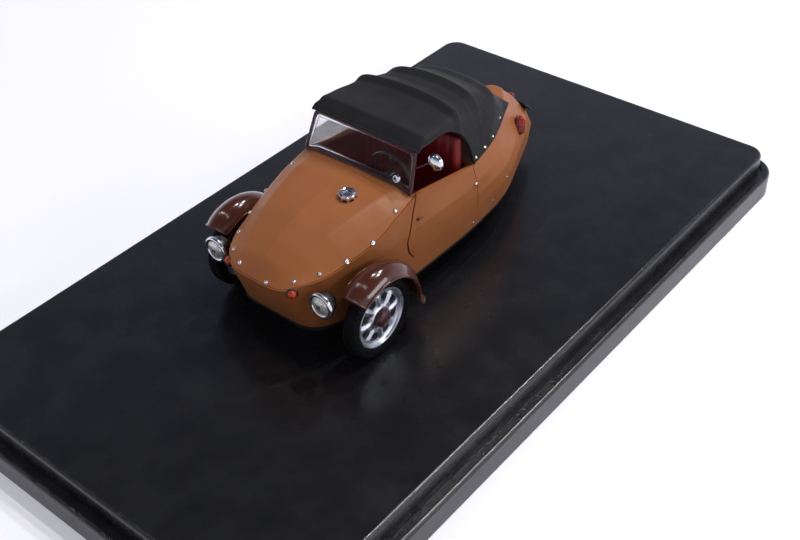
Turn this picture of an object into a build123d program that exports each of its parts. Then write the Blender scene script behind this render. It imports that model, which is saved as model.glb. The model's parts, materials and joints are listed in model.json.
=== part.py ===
"""A 1:43 scale model of a three-wheeled light car, screwed down on a two-tier display plinth.

Millimetres. +X is the way the car faces, +Y is its left side and +Z is up. The origin is the
centre of the plinth's underside. The road is the plinth's top face, and every value whose name
ends in _h is a height above the road.
"""
import math
import os

from build123d import *

os.makedirs("parts", exist_ok=True)

# Plinth
plinth_length = 128.0       # upper tier, along X
plinth_width = 71.6         # upper tier, along Y
upper_tier = 3.45           # height of the upper tier
lower_tier = 4.35           # height of the lower tier
ledge = 2.0                 # the lower tier stands out this far all round
plinth_corner = 3.0         # plan radius of the upper tier's corners
plinth_edge = 0.6           # rounding of the upper edges
groove_depth = 0.4          # the clear cover's rim stands in this groove
groove_width = 0.6
road = lower_tier + upper_tier

# Fixing screws, driven from below
screw_x = (11.0, -15.0)
screw_shank = 1.25          # radius
screw_head = 2.4            # radius
screw_head_height = 1.6
head_recess = 2.4           # depth of the counterbore
head_clearance = 0.3
shank_clearance = 0.15
screw_bite = 3.6            # length of shank inside the boss
boss_radius = 2.7
thread_fit = 0.02           # radial play of the shank in the boss
thread_end_room = 0.4       # the threaded hole is this much deeper than the shank

# Floor pan
sill_h = 5.2                # lower edge of the body shell
pan_thickness = 0.8
pan_inset = 0.25            # the pan's edge lies inside the shell's edge
wheel_room = (0.9, 0.3)     # the pan's slot clears the rear tyre along X and the fork across

# Wheels
axle_h = 6.7
front_axle_x = 18.9
rear_axle_x = -26.7
half_track = 14.0           # the middle of each front tyre
tyre_radius = 6.6
tyre_width = 2.3
tyre_shoulder = 0.75        # rounding of the tread's edges
rim_radius = 4.9
rim_width = 1.9
rim_lip = 0.35              # radial thickness of the rim's barrel
disc_thickness = 0.5
disc_inset = 0.45           # the disc's face lies this far inside the rim's lip
window_count = 8
window_size = 1.35
window_radius = 3.25        # from the axle to the middle of a window
window_turn = 20.0          # angle of the first window
window_corner = 0.35
hub_radius = 1.9
hub_cap_radius = 1.4
hub_cap_height = 0.75
hub_cap_edge = 0.25
hub_cap_taper = 12.0
axle_radius = 0.6
axle_fit = 0.02             # radial play of the rear axle in the fork
bore_clearance = 0.05
axle_end_gap = 0.1          # from a stub axle's end to the hub cap

disc_face_y = rim_width / 2 - disc_inset

# Front suspension and rear fork
beam_depth = 1.0            # along X
beam_height = 0.7
beam_spread = 1.9           # from one leaf's middle to the other's
knuckle_y = 11.35           # inner face of the knuckle
knuckle_width = 0.9
knuckle_size = 1.5
knuckle_corner = 0.3
spring_block = (2.4, 6.0)   # the block under the leaves, along X and across
stay_width = 0.5
stay_length = 1.1
fork_gap = 1.75             # from the centre plane to the inner face of an arm
fork_arm = 0.8
fork_depth = 1.2
fork_root_x = -18.2
fork_root_length = 1.6

# Body shell
shell = 0.8                 # wall of every body panel
bonnet_back_x = 5.7
door_rear_x = -8.6          # the seam between the front and the rear body
door_gap = 0.1
door_toe = (7.6, 9.2)       # lower front corner, x and height
door_heel = (8.6, 10.6)
door_bulge = (8.9, 12.6)    # furthest point of the front edge
door_top_front_h = 19.35
door_top_rear_h = 16.9
deck_h = 17.0               # the soft top stands on the shell here
slot_length = 5.2           # opening in the shell's side for the suspension
slot_height = 4.6

# Windscreen
screen_low = (6.1, 19.9)    # middle of the frame's foot, x and height
screen_high = (4.0, 25.7)   # middle of its top
screen_half_low = 10.7
screen_half_high = 10.1
screen_bar = 0.5            # width of the frame's bars
screen_depth = 0.6
glass_thickness = 0.3
wiper_pivot = (8.0, 0.3)    # across, and up the frame
wiper_tip = (1.2, 1.1)
wiper_width = 0.3
wiper_thickness = 0.3
wiper_boss = 0.45           # radius
mirror_place = (2.3, 12.2, 23.9)
mirror_radius = 1.4
mirror_thickness = 0.5
mirror_arm = 0.22           # radius
mirror_foot_h = 23.4        # height at which the arm leaves the frame

# Soft top
top_skin = 0.5
window_x = (-19.6, -23.4)   # upper and lower edge of the rear window
window_half = (3.9, 3.1)    # half width at its upper and lower edge
window_inset = 0.15         # the pane lies this far below the cloth's surface
pane_thickness = 0.2
top_tail_wall = 0.8
visor_h = 26.15             # lower edge of the visor's sides
visor_rear_x = 0.2
opening_mid = (-5.7, 24.1)  # the side opening's rear edge curves through here
opening_low = (-8.6, 18.6)
opening_foot_x = -8.9

# Mudguards
guard_skin = 0.5
guard_half_width = 2.4
guard_edge_radius = 7.2     # from the axle to the side edges
guard_crown_radius = 8.8    # from the axle to the crown
guard_front_angle = 51.0    # above straight ahead
guard_rear_angle = 194.0
guard_lip = 0.35            # the inner surface ends this far inside the edge
stay_gap = 0.05             # from a stay's top to the mudguard's edge

# Headlamps
lamp_place = (26.9, 10.65, 12.2)
lamp_radius = 2.15          # outside of the ring
lamp_ring = 0.4             # radial width of the ring
lamp_ring_depth = 0.7
lamp_length = 3.2
lamp_wall = 0.3
lamp_lens_crown = 0.5
lamp_stalk = 0.5            # radius of the arm to the body
lamp_stalk_back = 1.7       # the arm stands this far behind the ring

# Indicators, tail lamps and number plate
indicator_place = (28.0, 6.3, 13.0)
indicator_heading = 42.0    # degrees from straight ahead
indicator_radius = 0.6
indicator_length = 0.9
tail_lamp_place = (-28.3, 6.1, 12.3)
tail_lamp_heading = 116.0
tail_lamp_width = 1.5
tail_lamp_height = 3.6
tail_lamp_depth = 0.8
plate_place = (-36.3, 10.4)     # x and height of the plate's middle
plate_slope = 42.5          # degrees between the plate's normal and straight back
plate_width = 4.6
plate_height = 3.0
plate_thickness = 0.4
plate_lamp_place = (-34.0, 13.2)
plate_lamp_radius = 0.6
plate_lamp_length = 0.9

# Filler cap, off the middle of the bonnet
filler_place = (12.2, 3.4)
filler_radius = 1.6
filler_top_h = 20.95
filler_edge = 0.25

# Cabin
cabin_half = 9.4            # half width of the seats and the dashboard
seat_gap = 0.1              # between the seat's pieces and what they rest on
seat_front_x = 0.4
seat_heel_x = -5.4          # where the cushion meets the backrest
seat_h = 10.6
seat_back_top = (-8.2, 22.2)    # rear upper corner of the backrest, x and height
seat_back_foot_x = -7.4
seat_back_thickness = 1.9
seat_edge = 0.6             # rounding of the cushions
dash_thickness = 0.9
dash_low_h = 15.6
hand_wheel_place = (3.6, 4.6, 19.5)
hand_wheel_radius = 3.65
hand_wheel_rim = 0.25
hand_wheel_lean = 5.0       # the column's slope below straight ahead
hand_wheel_hub = 0.6
spoke_width = 0.35
column_radius = 0.4
pod_place = (6.2, 20.0)     # across and height; the pod stands against the bonnet's rear edge
pod_radius = 0.75
pod_length = 1.3

SIDES = {"left": 1, "right": -1}

# Plan outlines of the body at six heights: control points of the left half from nose to tail.
# height, then x and y of: nose, brow, cowl, door, quarter, haunch, tail
BODY_LEVELS = (
    (sill_h, (26.2, 7.4), (21.3, 9.7), (12.0, 11.3), (-7.0, 11.4), (-18.5, 10.3), (-33.5, 4.1), (-39.8, 0.7)),
    (9.2, (27.9, 6.4), (22.8, 9.5), (13.0, 11.5), (-7.0, 11.9), (-18.5, 11.1), (-31.8, 5.0), (-37.4, 0.9)),
    (11.6, (28.9, 5.9), (23.6, 9.2), (14.0, 11.5), (-7.0, 12.1), (-18.0, 11.1), (-29.6, 5.2), (-35.2, 1.0)),
    (14.0, (29.7, 5.5), (24.3, 9.0), (14.5, 11.5), (-7.0, 12.0), (-16.5, 10.6), (-27.6, 5.0), (-33.2, 1.0)),
    (deck_h, (30.5, 5.2), (24.6, 8.9), (14.5, 11.3), (-7.5, 11.1), (-13.5, 9.8), (-24.6, 4.6), (-29.7, 1.0)),
    (21.5, (31.5, 5.0), (24.6, 8.7), (14.0, 11.0), (-7.0, 10.4), (-11.5, 9.2), (-20.0, 4.8), (-25.0, 1.0)),
)
CORNER_RADII = (4.4, 12.0, 30.0, 60.0, 30.0, 14.0, 1.2)
RUN_SHARE = 0.45            # the most of a straight run that one corner may use

# Cross-sections of the bonnet: x, height of the centre, then y and height of
# the inner crease, the outer crease and the hem
BONNET_SECTIONS = (
    (4.6, 20.1, (8.2, 20.0), (10.8, 19.6), (11.1, 19.4)),
    (11.0, 20.5, (7.8, 20.0), (10.7, 18.3), (11.3, 17.6)),
    (16.0, 20.1, (7.1, 19.2), (9.6, 17.5), (11.1, 15.9)),
    (20.0, 19.2, (6.3, 18.3), (8.2, 17.0), (10.2, 15.0)),
    (24.0, 17.6, (5.1, 16.8), (6.5, 16.1), (9.0, 14.4)),
    (27.0, 15.9, (3.8, 15.4), (5.0, 14.9), (7.3, 14.2)),
    (31.0, 12.0, (2.5, 12.2), (4.0, 12.3), (6.5, 11.8)),
)
BONNET_REACH = 13.5         # half width of the solids that trim the shell
BEYOND = 60.0               # reaches past the car from anywhere inside it

# Cross-sections of the soft top: x, half width at the hem, then y and height of the
# shoulder, the height of the crown and the shoulder's radius
TOP_SECTIONS = (
    (3.9, 10.4, (10.3, 26.5), 27.0, 0.6),
    (2.0, 10.8, (10.5, 27.1), 27.6, 1.0),
    (-6.3, 10.9, (10.3, 27.0), 28.5, 2.2),
    (-9.8, 10.6, (9.8, 26.2), 27.6, 2.0),
    (-13.5, 9.4, (9.4, 25.9), 27.2, 2.0),
    (-16.0, 8.4, (8.8, 24.6), 25.8, 1.8),
    (-18.6, 7.4, (8.6, 24.1), 25.2, 1.8),
    (-24.0, 4.9, (5.6, 20.6), 21.6, 1.2),
    (-29.0, 1.3, (1.6, 17.5), 17.8, 0.2),
)


def keep(piece, name):
    """Label a finished piece and write its STEP file."""
    piece.label = name
    export_step(piece, f"parts/{name}.step")


def outline_points(level):
    """All the control points of one plan outline, left side first."""
    left = level[1:]
    right = [(x, -y) for x, y in reversed(left)]
    return list(left) + right


def corner_radii(points):
    """The radius of each corner: its nominal one, or less where its two runs are short."""
    nominal = list(CORNER_RADII) + list(reversed(CORNER_RADII))
    radii = []
    for i, point in enumerate(points):
        before = Vector(*point) - Vector(*points[i - 1])
        after = Vector(*points[(i + 1) % len(points)]) - Vector(*point)
        half_turn = math.radians(before.get_angle(after)) / 2
        room = RUN_SHARE * min(before.length, after.length)
        radii.append(min(nominal[i], room / math.tan(half_turn)))
    return radii


def body_form(inset=0.0):
    """The body as one solid block through its plan outlines, drawn in by inset."""
    with BuildPart() as form:
        for level in BODY_LEVELS:
            with BuildSketch(Plane.XY.offset(road + level[0])):
                with BuildLine():
                    points = outline_points(level)
                    FilletPolyline(*points, radius=corner_radii(points), close=True)
                make_face()
                if inset:
                    offset(amount=-inset, kind=Kind.INTERSECTION)
        loft(ruled=True)
    return form.part


def bonnet_form(drop=0.0):
    """Everything below the bonnet's top surface, which is lowered by drop."""
    with BuildPart() as form:
        for x, centre, inner, outer, hem in BONNET_SECTIONS:
            slope = (outer[1] - hem[1]) / (hem[0] - outer[0])
            edge = (BONNET_REACH, hem[1] - slope * (BONNET_REACH - hem[0]))
            left = [inner, outer, hem, edge]
            points = [(0, road + centre - drop)]
            points += [(y, road + h - drop) for y, h in left]
            points += [(BONNET_REACH, 0), (-BONNET_REACH, 0)]
            points += [(-y, road + h - drop) for y, h in reversed(left)]
            with BuildSketch(Plane.YZ.offset(x)):
                with BuildLine():
                    Polyline(*points, close=True)
                make_face()
        loft(ruled=True)
    return form.part


def slab(x_range, h_range, half_width=BEYOND):
    """A block across the whole car between two x and two heights above the road."""
    with BuildPart() as block:
        with BuildSketch(Plane.XY.offset(road + h_range[0])):
            with Locations(((x_range[0] + x_range[1]) / 2, 0)):
                Rectangle(abs(x_range[1] - x_range[0]), 2 * half_width)
        extrude(amount=h_range[1] - h_range[0])
    return block.part


def side_prism(points, side, inner_y, outer_y):
    """A prism across the car's side: points are (x, height), between two distances from the middle."""
    with BuildPart() as prism:
        with BuildSketch(Plane.XZ.offset(-side * inner_y)):
            with BuildLine():
                Polyline(*[(x, road + h) for x, h in points], close=True)
            make_face()
        extrude(amount=-side * (outer_y - inner_y))
    return prism.part


# Plinth: two tiers, a groove for the cover's rim, and two stepped screw holes from below
with BuildPart() as plinth:
    with BuildSketch():
        RectangleRounded(plinth_length + 2 * ledge, plinth_width + 2 * ledge, plinth_corner + ledge)
    extrude(amount=lower_tier)
    fillet(plinth.faces().sort_by(Axis.Z)[-1].outer_wire().edges(), plinth_edge)
    with BuildSketch(Plane.XY.offset(lower_tier)):
        RectangleRounded(plinth_length, plinth_width, plinth_corner)
    extrude(amount=upper_tier)
    fillet(plinth.faces().sort_by(Axis.Z)[-1].outer_wire().edges(), plinth_edge)
    with BuildSketch(Plane.XY.offset(lower_tier)):
        RectangleRounded(
            plinth_length + 2 * groove_width, plinth_width + 2 * groove_width, plinth_corner + groove_width
        )
        RectangleRounded(plinth_length, plinth_width, plinth_corner, mode=Mode.SUBTRACT)
    extrude(amount=-groove_depth, mode=Mode.SUBTRACT)
    with BuildSketch():
        with Locations(*[(x, 0) for x in screw_x]):
            Circle(screw_shank + shank_clearance)
    extrude(amount=road, mode=Mode.SUBTRACT)
    with BuildSketch():
        with Locations(*[(x, 0) for x in screw_x]):
            Circle(screw_head + head_clearance)
    extrude(amount=head_recess, mode=Mode.SUBTRACT)
keep(plinth.part, "plinth")

# Fixing screws: the head bears on the counterbore's floor
for place, x in zip(("front", "rear"), screw_x):
    with BuildPart() as screw:
        with BuildSketch(Plane.XY.offset(head_recess - screw_head_height)):
            with Locations((x, 0)):
                Circle(screw_head)
        extrude(amount=screw_head_height)
        with BuildSketch(Plane.XY.offset(head_recess)):
            with Locations((x, 0)):
                Circle(screw_shank)
        extrude(amount=road - head_recess + screw_bite)
    keep(screw.part, f"fixing_screw_{place}")

# Floor pan: follows the shell's lower edge, with two bosses down to the road and a slot
# for the rear wheel
with BuildPart() as pan:
    with BuildSketch(Plane.XY.offset(road + sill_h)):
        with BuildLine():
            sill_points = outline_points(BODY_LEVELS[0])
            FilletPolyline(*sill_points, radius=corner_radii(sill_points), close=True)
        make_face()
        offset(amount=-pan_inset, kind=Kind.INTERSECTION)
        with Locations((rear_axle_x, 0)):
            RectangleRounded(
                2 * (tyre_radius + wheel_room[0]), 2 * (fork_gap + fork_arm + wheel_room[1]),
                pan_thickness, mode=Mode.SUBTRACT,
            )
    extrude(amount=-pan_thickness)
    with BuildSketch(Plane.XY.offset(road)):
        with Locations(*[(x, 0) for x in screw_x]):
            Circle(boss_radius)
    extrude(amount=sill_h - pan_thickness)
    with BuildSketch(Plane.XY.offset(road)):
        with Locations(*[(x, 0) for x in screw_x]):
            Circle(screw_shank + thread_fit)
    extrude(amount=screw_bite + thread_end_room, mode=Mode.SUBTRACT)
keep(pan.part, "floor_pan")

# Front suspension: two transverse leaves, one above the other, on a block that stands on the pan
with BuildPart() as suspension:
    for sign in (-1, 1):
        with BuildSketch(Plane.XY.offset(road + axle_h + sign * beam_spread / 2 - beam_height / 2)):
            with Locations((front_axle_x, 0)):
                Rectangle(beam_depth, 2 * knuckle_y)
        extrude(amount=beam_height)
    with BuildSketch(Plane.XY.offset(road + sill_h)):
        with Locations((front_axle_x, 0)):
            Rectangle(*spring_block)
    extrude(amount=axle_h + beam_spread / 2 - sill_h)
keep(suspension.part, "front_leaf_springs")

# Knuckles with their stub axles and the stays that carry the mudguards
stay_top = guard_edge_radius - guard_skin / 2 - stay_gap
for side_name, side in SIDES.items():
    with BuildPart() as knuckle:
        with BuildSketch(Plane.XZ.offset(-side * knuckle_y)):
            with Locations((front_axle_x, road + axle_h)):
                RectangleRounded(knuckle_size, beam_spread + beam_height, knuckle_corner)
        extrude(amount=-side * knuckle_width)
        with BuildSketch(Plane.XZ.offset(-side * (knuckle_y + knuckle_width))):
            with Locations((front_axle_x, road + axle_h)):
                Circle(axle_radius)
        extrude(amount=-side * (half_track + disc_face_y - axle_end_gap - knuckle_y - knuckle_width))
        with BuildSketch(Plane.XZ.offset(-side * (knuckle_y + knuckle_width - stay_width))):
            with Locations((front_axle_x, road + axle_h + stay_top / 2)):
                Rectangle(stay_length, stay_top)
        extrude(amount=-side * stay_width)
    keep(knuckle.part, f"stub_axle_{side_name}")

# Rear fork: a cross block under the body with two arms that hold the axle
with BuildPart() as fork:
    with BuildSketch(Plane.XY.offset(road + sill_h)):
        with Locations((fork_root_x + fork_root_length / 2, 0)):
            Rectangle(fork_root_length, 2 * (fork_gap + fork_arm))
    extrude(amount=axle_h + fork_depth / 2 - sill_h)
    for side in SIDES.values():
        with BuildSketch(Plane.XZ.offset(-side * fork_gap)):
            with Locations(((fork_root_x + rear_axle_x) / 2, road + axle_h)):
                SlotCenterToCenter(fork_root_x - rear_axle_x, fork_depth)
        extrude(amount=-side * fork_arm)
    with BuildSketch(Plane.XZ):
        with Locations((rear_axle_x, road + axle_h)):
            Circle(axle_radius)
    extrude(amount=BEYOND, both=True, mode=Mode.SUBTRACT)
keep(fork.part, "rear_fork")

with BuildPart() as rear_axle:
    with BuildSketch(Plane.XZ):
        with Locations((rear_axle_x, road + axle_h)):
            Circle(axle_radius - axle_fit)
    extrude(amount=fork_gap + fork_arm, both=True)
keep(rear_axle.part, "rear_axle")


def wheel_pieces(name, x, y, side, capped=True):
    """Tyre, rim and hub cap of one wheel whose middle is at x and y and whose face looks to side."""
    face_plane = Plane(origin=(x, y, road + axle_h), x_dir=(1, 0, 0), z_dir=(0, side, 0))
    ring_plane = Plane(origin=(x, y, road + axle_h), x_dir=(0, side, 0), z_dir=(side, 0, 0))
    spin = Axis((x, y, road + axle_h), (0, 1, 0))
    half = tyre_width / 2
    with BuildPart() as tyre:
        with BuildSketch(ring_plane):
            with BuildLine():
                FilletPolyline(
                    (-half, rim_radius), (-half, tyre_radius), (half, tyre_radius), (half, rim_radius),
                    radius=[0, tyre_shoulder, tyre_shoulder, 0], close=True,
                )
            make_face()
        revolve(axis=spin)
    keep(tyre.part, f"{name}_tyre")
    with BuildPart() as rim:
        with BuildSketch(ring_plane):
            with Locations((0, rim_radius - rim_lip / 2)):
                Rectangle(rim_width, rim_lip)
            with Locations((disc_face_y - disc_thickness / 2, (rim_radius - rim_lip / 2) / 2)):
                Rectangle(disc_thickness, rim_radius - rim_lip / 2)
            with Locations((0, hub_radius / 2)):
                Rectangle(2 * disc_face_y, hub_radius)
        revolve(axis=spin)
        with BuildSketch(face_plane.offset(disc_face_y)):
            with PolarLocations(window_radius, window_count, start_angle=window_turn):
                RectangleRounded(window_size, window_size, window_corner)
        extrude(amount=-disc_thickness, mode=Mode.SUBTRACT)
        with BuildSketch(face_plane):
            Circle(axle_radius + bore_clearance)
        extrude(amount=rim_width, both=True, mode=Mode.SUBTRACT)
    keep(rim.part, f"{name}_rim")
    if capped:
        with BuildPart() as cap:
            with BuildSketch(face_plane.offset(disc_face_y)):
                Circle(hub_cap_radius)
            extrude(amount=hub_cap_height, taper=hub_cap_taper)
            fillet(cap.faces().sort_by(Axis.Y)[-1 if side > 0 else 0].edges(), hub_cap_edge)
        keep(cap.part, f"{name}_hub_cap")


for side_name, side in SIDES.items():
    wheel_pieces(f"front_{side_name}", front_axle_x, side * half_track, side)
wheel_pieces("rear", rear_axle_x, 0, 1, capped=False)

# The shell's outer and inner forms, and the bonnet's surface and its underside
outer_form = body_form()
inner_form = body_form(shell)
under_bonnet = bonnet_form()
under_skin = bonnet_form(shell)

# What lies above the bonnet's underside, forward of its rear edge
with BuildPart() as above_skin:
    add(slab((bonnet_back_x, BEYOND), (0, BEYOND)))
    add(under_skin, mode=Mode.SUBTRACT)

# Bonnet: a skin between the two surfaces, out to the shell's outline
with BuildPart() as bonnet:
    add(outer_form)
    add(under_bonnet, mode=Mode.INTERSECT)
    add(under_skin, mode=Mode.SUBTRACT)
    add(slab((-BEYOND, bonnet_back_x), (0, BEYOND)), mode=Mode.SUBTRACT)
keep(bonnet.part, "bonnet")


def door_outline(gap, rear_x):
    """Corners of a door as (x, height), drawn in by gap, with its top far above the car."""
    return [
        (rear_x, door_toe[1] + gap),
        (door_toe[0] - gap, door_toe[1] + gap),
        (door_heel[0] - gap, door_heel[1]),
        (door_bulge[0] - gap, door_bulge[1]),
        (bonnet_back_x - gap, door_top_front_h),
        (bonnet_back_x - gap, BEYOND),
        (rear_x, BEYOND),
    ]


# Front body: the nose, the cowl's sides and the sills, open at the top for the cabin
door_opening = door_outline(0, door_rear_x - shell)
with BuildPart() as front_body:
    add(outer_form)
    add(inner_form, mode=Mode.SUBTRACT)
    add(slab((-BEYOND, door_rear_x), (0, BEYOND)), mode=Mode.SUBTRACT)
    add(above_skin.part, mode=Mode.SUBTRACT)
    add(side_prism(door_opening, 1, -BEYOND, BEYOND), mode=Mode.SUBTRACT)
    with BuildSketch(Plane.XZ):
        with Locations((front_axle_x, road + axle_h)):
            RectangleRounded(slot_length, slot_height, shell)
    extrude(amount=BEYOND, both=True, mode=Mode.SUBTRACT)
keep(front_body.part, "front_body")

# Doors: fixed panels that fill the openings but for a seam
door_panel = door_outline(door_gap, door_rear_x + door_gap)
above_door = [
    (door_rear_x, door_top_rear_h), (bonnet_back_x, door_top_front_h),
    (bonnet_back_x, BEYOND), (door_rear_x, BEYOND),
]
for side_name, side in SIDES.items():
    with BuildPart() as door:
        add(outer_form)
        add(inner_form, mode=Mode.SUBTRACT)
        add(side_prism(door_panel, side, 0, BEYOND), mode=Mode.INTERSECT)
        add(side_prism(above_door, side, 0, BEYOND), mode=Mode.SUBTRACT)
        add(above_skin.part, mode=Mode.SUBTRACT)
    keep(door.part, f"door_{side_name}")

# Rear body: walls, deck and bulkhead in one, open below
with BuildPart() as rear_cavity:
    add(inner_form)
    add(slab((-BEYOND, door_rear_x - shell), (0, deck_h - shell)), mode=Mode.INTERSECT)
with BuildPart() as rear_body:
    add(outer_form)
    add(rear_cavity.part, mode=Mode.SUBTRACT)
    add(slab((door_rear_x, BEYOND), (0, BEYOND)), mode=Mode.SUBTRACT)
    add(slab((-BEYOND, BEYOND), (deck_h, BEYOND)), mode=Mode.SUBTRACT)
keep(rear_body.part, "rear_body")


# Windscreen: a flat frame that stands on the bonnet, and its glass
screen_rise = Vector(screen_high[0] - screen_low[0], 0, screen_high[1] - screen_low[1])
screen_length = screen_rise.length
screen_up = screen_rise.normalized()
screen_face = Vector(0, 1, 0).cross(screen_up)
screen_plane = Plane(
    origin=(screen_low[0], 0, road + screen_low[1]), x_dir=(0, 1, 0), z_dir=screen_face
)
over_bar = bonnet_form(-screen_bar)


def screen_slab(thickness, inset, foot):
    """A slab in the windscreen's plane, drawn in by inset, its foot this far below the base."""
    half_low = screen_half_low - inset
    half_high = screen_half_high - inset
    top = screen_length - inset
    with BuildPart() as pane:
        with BuildSketch(screen_plane):
            with BuildLine():
                Polyline(
                    (-half_low, -foot), (half_low, -foot), (half_high, top), (-half_high, top),
                    close=True,
                )
            make_face()
        extrude(amount=thickness / 2, both=True)
    return pane.part


with BuildPart() as screen_opening:
    add(screen_slab(2 * screen_depth, screen_bar, screen_bar))
    add(over_bar, mode=Mode.SUBTRACT)
with BuildPart() as screen_frame:
    add(screen_slab(screen_depth, 0, 3 * screen_bar))
    add(screen_opening.part, mode=Mode.SUBTRACT)
    add(under_bonnet, mode=Mode.SUBTRACT)
    add(slab((-BEYOND, bonnet_back_x), (0, screen_low[1])), mode=Mode.SUBTRACT)
keep(screen_frame.part, "windscreen_frame")
with BuildPart() as screen_glass:
    add(screen_slab(glass_thickness, screen_bar, screen_bar))
    add(over_bar, mode=Mode.SUBTRACT)
keep(screen_glass.part, "windscreen_glass")

# Wiper: its boss on the frame's foot and the blade across the glass
with BuildPart() as wiper:
    with BuildSketch(screen_plane.offset(screen_depth / 2)):
        with Locations(wiper_pivot):
            Circle(wiper_boss)
        with BuildLine():
            blade = Line(wiper_pivot, wiper_tip)
        trace(blade, line_width=wiper_width)
    extrude(amount=wiper_thickness)
    add(under_bonnet, mode=Mode.SUBTRACT)
keep(wiper.part, "wiper")

# Door mirror on an arm from the windscreen frame's left post
mirror_x, mirror_y, mirror_h = mirror_place
foot_share = (mirror_foot_h - screen_low[1]) / (screen_high[1] - screen_low[1])
foot_x = screen_low[0] + foot_share * (screen_high[0] - screen_low[0])
foot_y = screen_half_low + foot_share * (screen_half_high - screen_half_low)
arm_foot = Vector(foot_x, foot_y, road + mirror_foot_h)
arm_tip = Vector(mirror_x + mirror_thickness / 2, mirror_y, road + mirror_h)
with BuildPart() as mirror:
    with BuildSketch(Plane(origin=arm_foot, z_dir=arm_tip - arm_foot)):
        Circle(mirror_arm)
    extrude(amount=(arm_tip - arm_foot).length)
    with BuildSketch(Plane.YZ.offset(mirror_x)):
        with Locations((mirror_y, road + mirror_h)):
            Circle(mirror_radius)
    extrude(amount=mirror_thickness)
    fillet(mirror.faces().filter_by(Axis.X).sort_by(SortBy.AREA)[-1].outer_wire().edges(), mirror_arm)
    add(screen_frame.part, mode=Mode.SUBTRACT)
keep(mirror.part, "door_mirror")


def top_form(skin):
    """The soft top as one solid block, drawn in by skin and then open in front and below."""
    with BuildPart() as form:
        for x, hem, shoulder, crown, radius in TOP_SECTIONS:
            place = x
            if skin and x == TOP_SECTIONS[0][0]:
                place = x + skin
            if skin and x == TOP_SECTIONS[-1][0]:
                place = x + top_tail_wall
            foot = road + deck_h - skin
            side_y = shoulder[0] - skin
            side_h = road + shoulder[1] - skin
            with BuildSketch(Plane.YZ.offset(place)):
                with BuildLine():
                    ThreePointArc((-side_y, side_h), (0, road + crown - skin), (side_y, side_h))
                    Polyline(
                        (side_y, side_h), (hem - skin, foot), (skin - hem, foot), (-side_y, side_h)
                    )
                make_face()
                fillet(vertices().sort_by(Axis.Y)[-2:], max(radius - skin, skin / 5))
        loft(ruled=True)
    return form.part


with BuildPart() as window_cut:
    with BuildSketch(Plane.XY.offset(road + deck_h)):
        with BuildLine():
            window_top, window_foot = window_x
            Polyline(
                (window_top, window_half[0]), (window_top, -window_half[0]),
                (window_foot, -window_half[1]), (window_foot, window_half[1]), close=True,
            )
        make_face()
        fillet(vertices(), shell / 2)
    extrude(amount=BEYOND)
window_prism = window_cut.part
with BuildPart() as soft_top:
    add(top_form(0))
    add(top_form(top_skin), mode=Mode.SUBTRACT)
    with BuildSketch(Plane.XZ):
        with BuildLine():
            front_x = TOP_SECTIONS[0][0] + 1
            foot_h = road + deck_h - 1
            Polyline(
                (opening_low[0], road + opening_low[1]), (opening_foot_x, foot_h),
                (front_x, foot_h), (front_x, road + visor_h), (visor_rear_x, road + visor_h),
            )
            ThreePointArc(
                (visor_rear_x, road + visor_h), (opening_mid[0], road + opening_mid[1]),
                (opening_low[0], road + opening_low[1]),
            )
        make_face()
    extrude(amount=BEYOND, both=True, mode=Mode.SUBTRACT)
    add(window_prism, mode=Mode.SUBTRACT)
keep(soft_top.part, "soft_top")

# Rear window: a pane set in the cloth
with BuildPart() as rear_window:
    add(top_form(window_inset))
    add(top_form(window_inset + pane_thickness), mode=Mode.SUBTRACT)
    add(window_prism, mode=Mode.INTERSECT)
keep(rear_window.part, "rear_window")

# Mudguards: a curved section turned about the front axle's line
turn = math.radians(guard_front_angle)
for side_name, side in SIDES.items():
    outward = Vector(0, side, 0)
    radial = Vector(math.cos(turn), 0, math.sin(turn))
    guard_plane = Plane(
        origin=(front_axle_x, side * half_track, road + axle_h), x_dir=outward,
        z_dir=outward.cross(radial),
    )
    lip = guard_half_width - guard_lip
    lip_radius = guard_edge_radius - guard_skin / 4
    with BuildPart() as mudguard:
        with BuildSketch(guard_plane):
            with BuildLine():
                ThreePointArc(
                    (-guard_half_width, guard_edge_radius), (0, guard_crown_radius),
                    (guard_half_width, guard_edge_radius),
                )
                Line((guard_half_width, guard_edge_radius), (lip, lip_radius))
                ThreePointArc(
                    (lip, lip_radius), (0, guard_crown_radius - guard_skin), (-lip, lip_radius)
                )
                Line((-lip, lip_radius), (-guard_half_width, guard_edge_radius))
            make_face()
        revolve(
            axis=Axis((front_axle_x, 0, road + axle_h), (0, -1, 0)),
            revolution_arc=guard_rear_angle - guard_front_angle,
        )
    keep(mudguard.part, f"mudguard_{side_name}")

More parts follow.
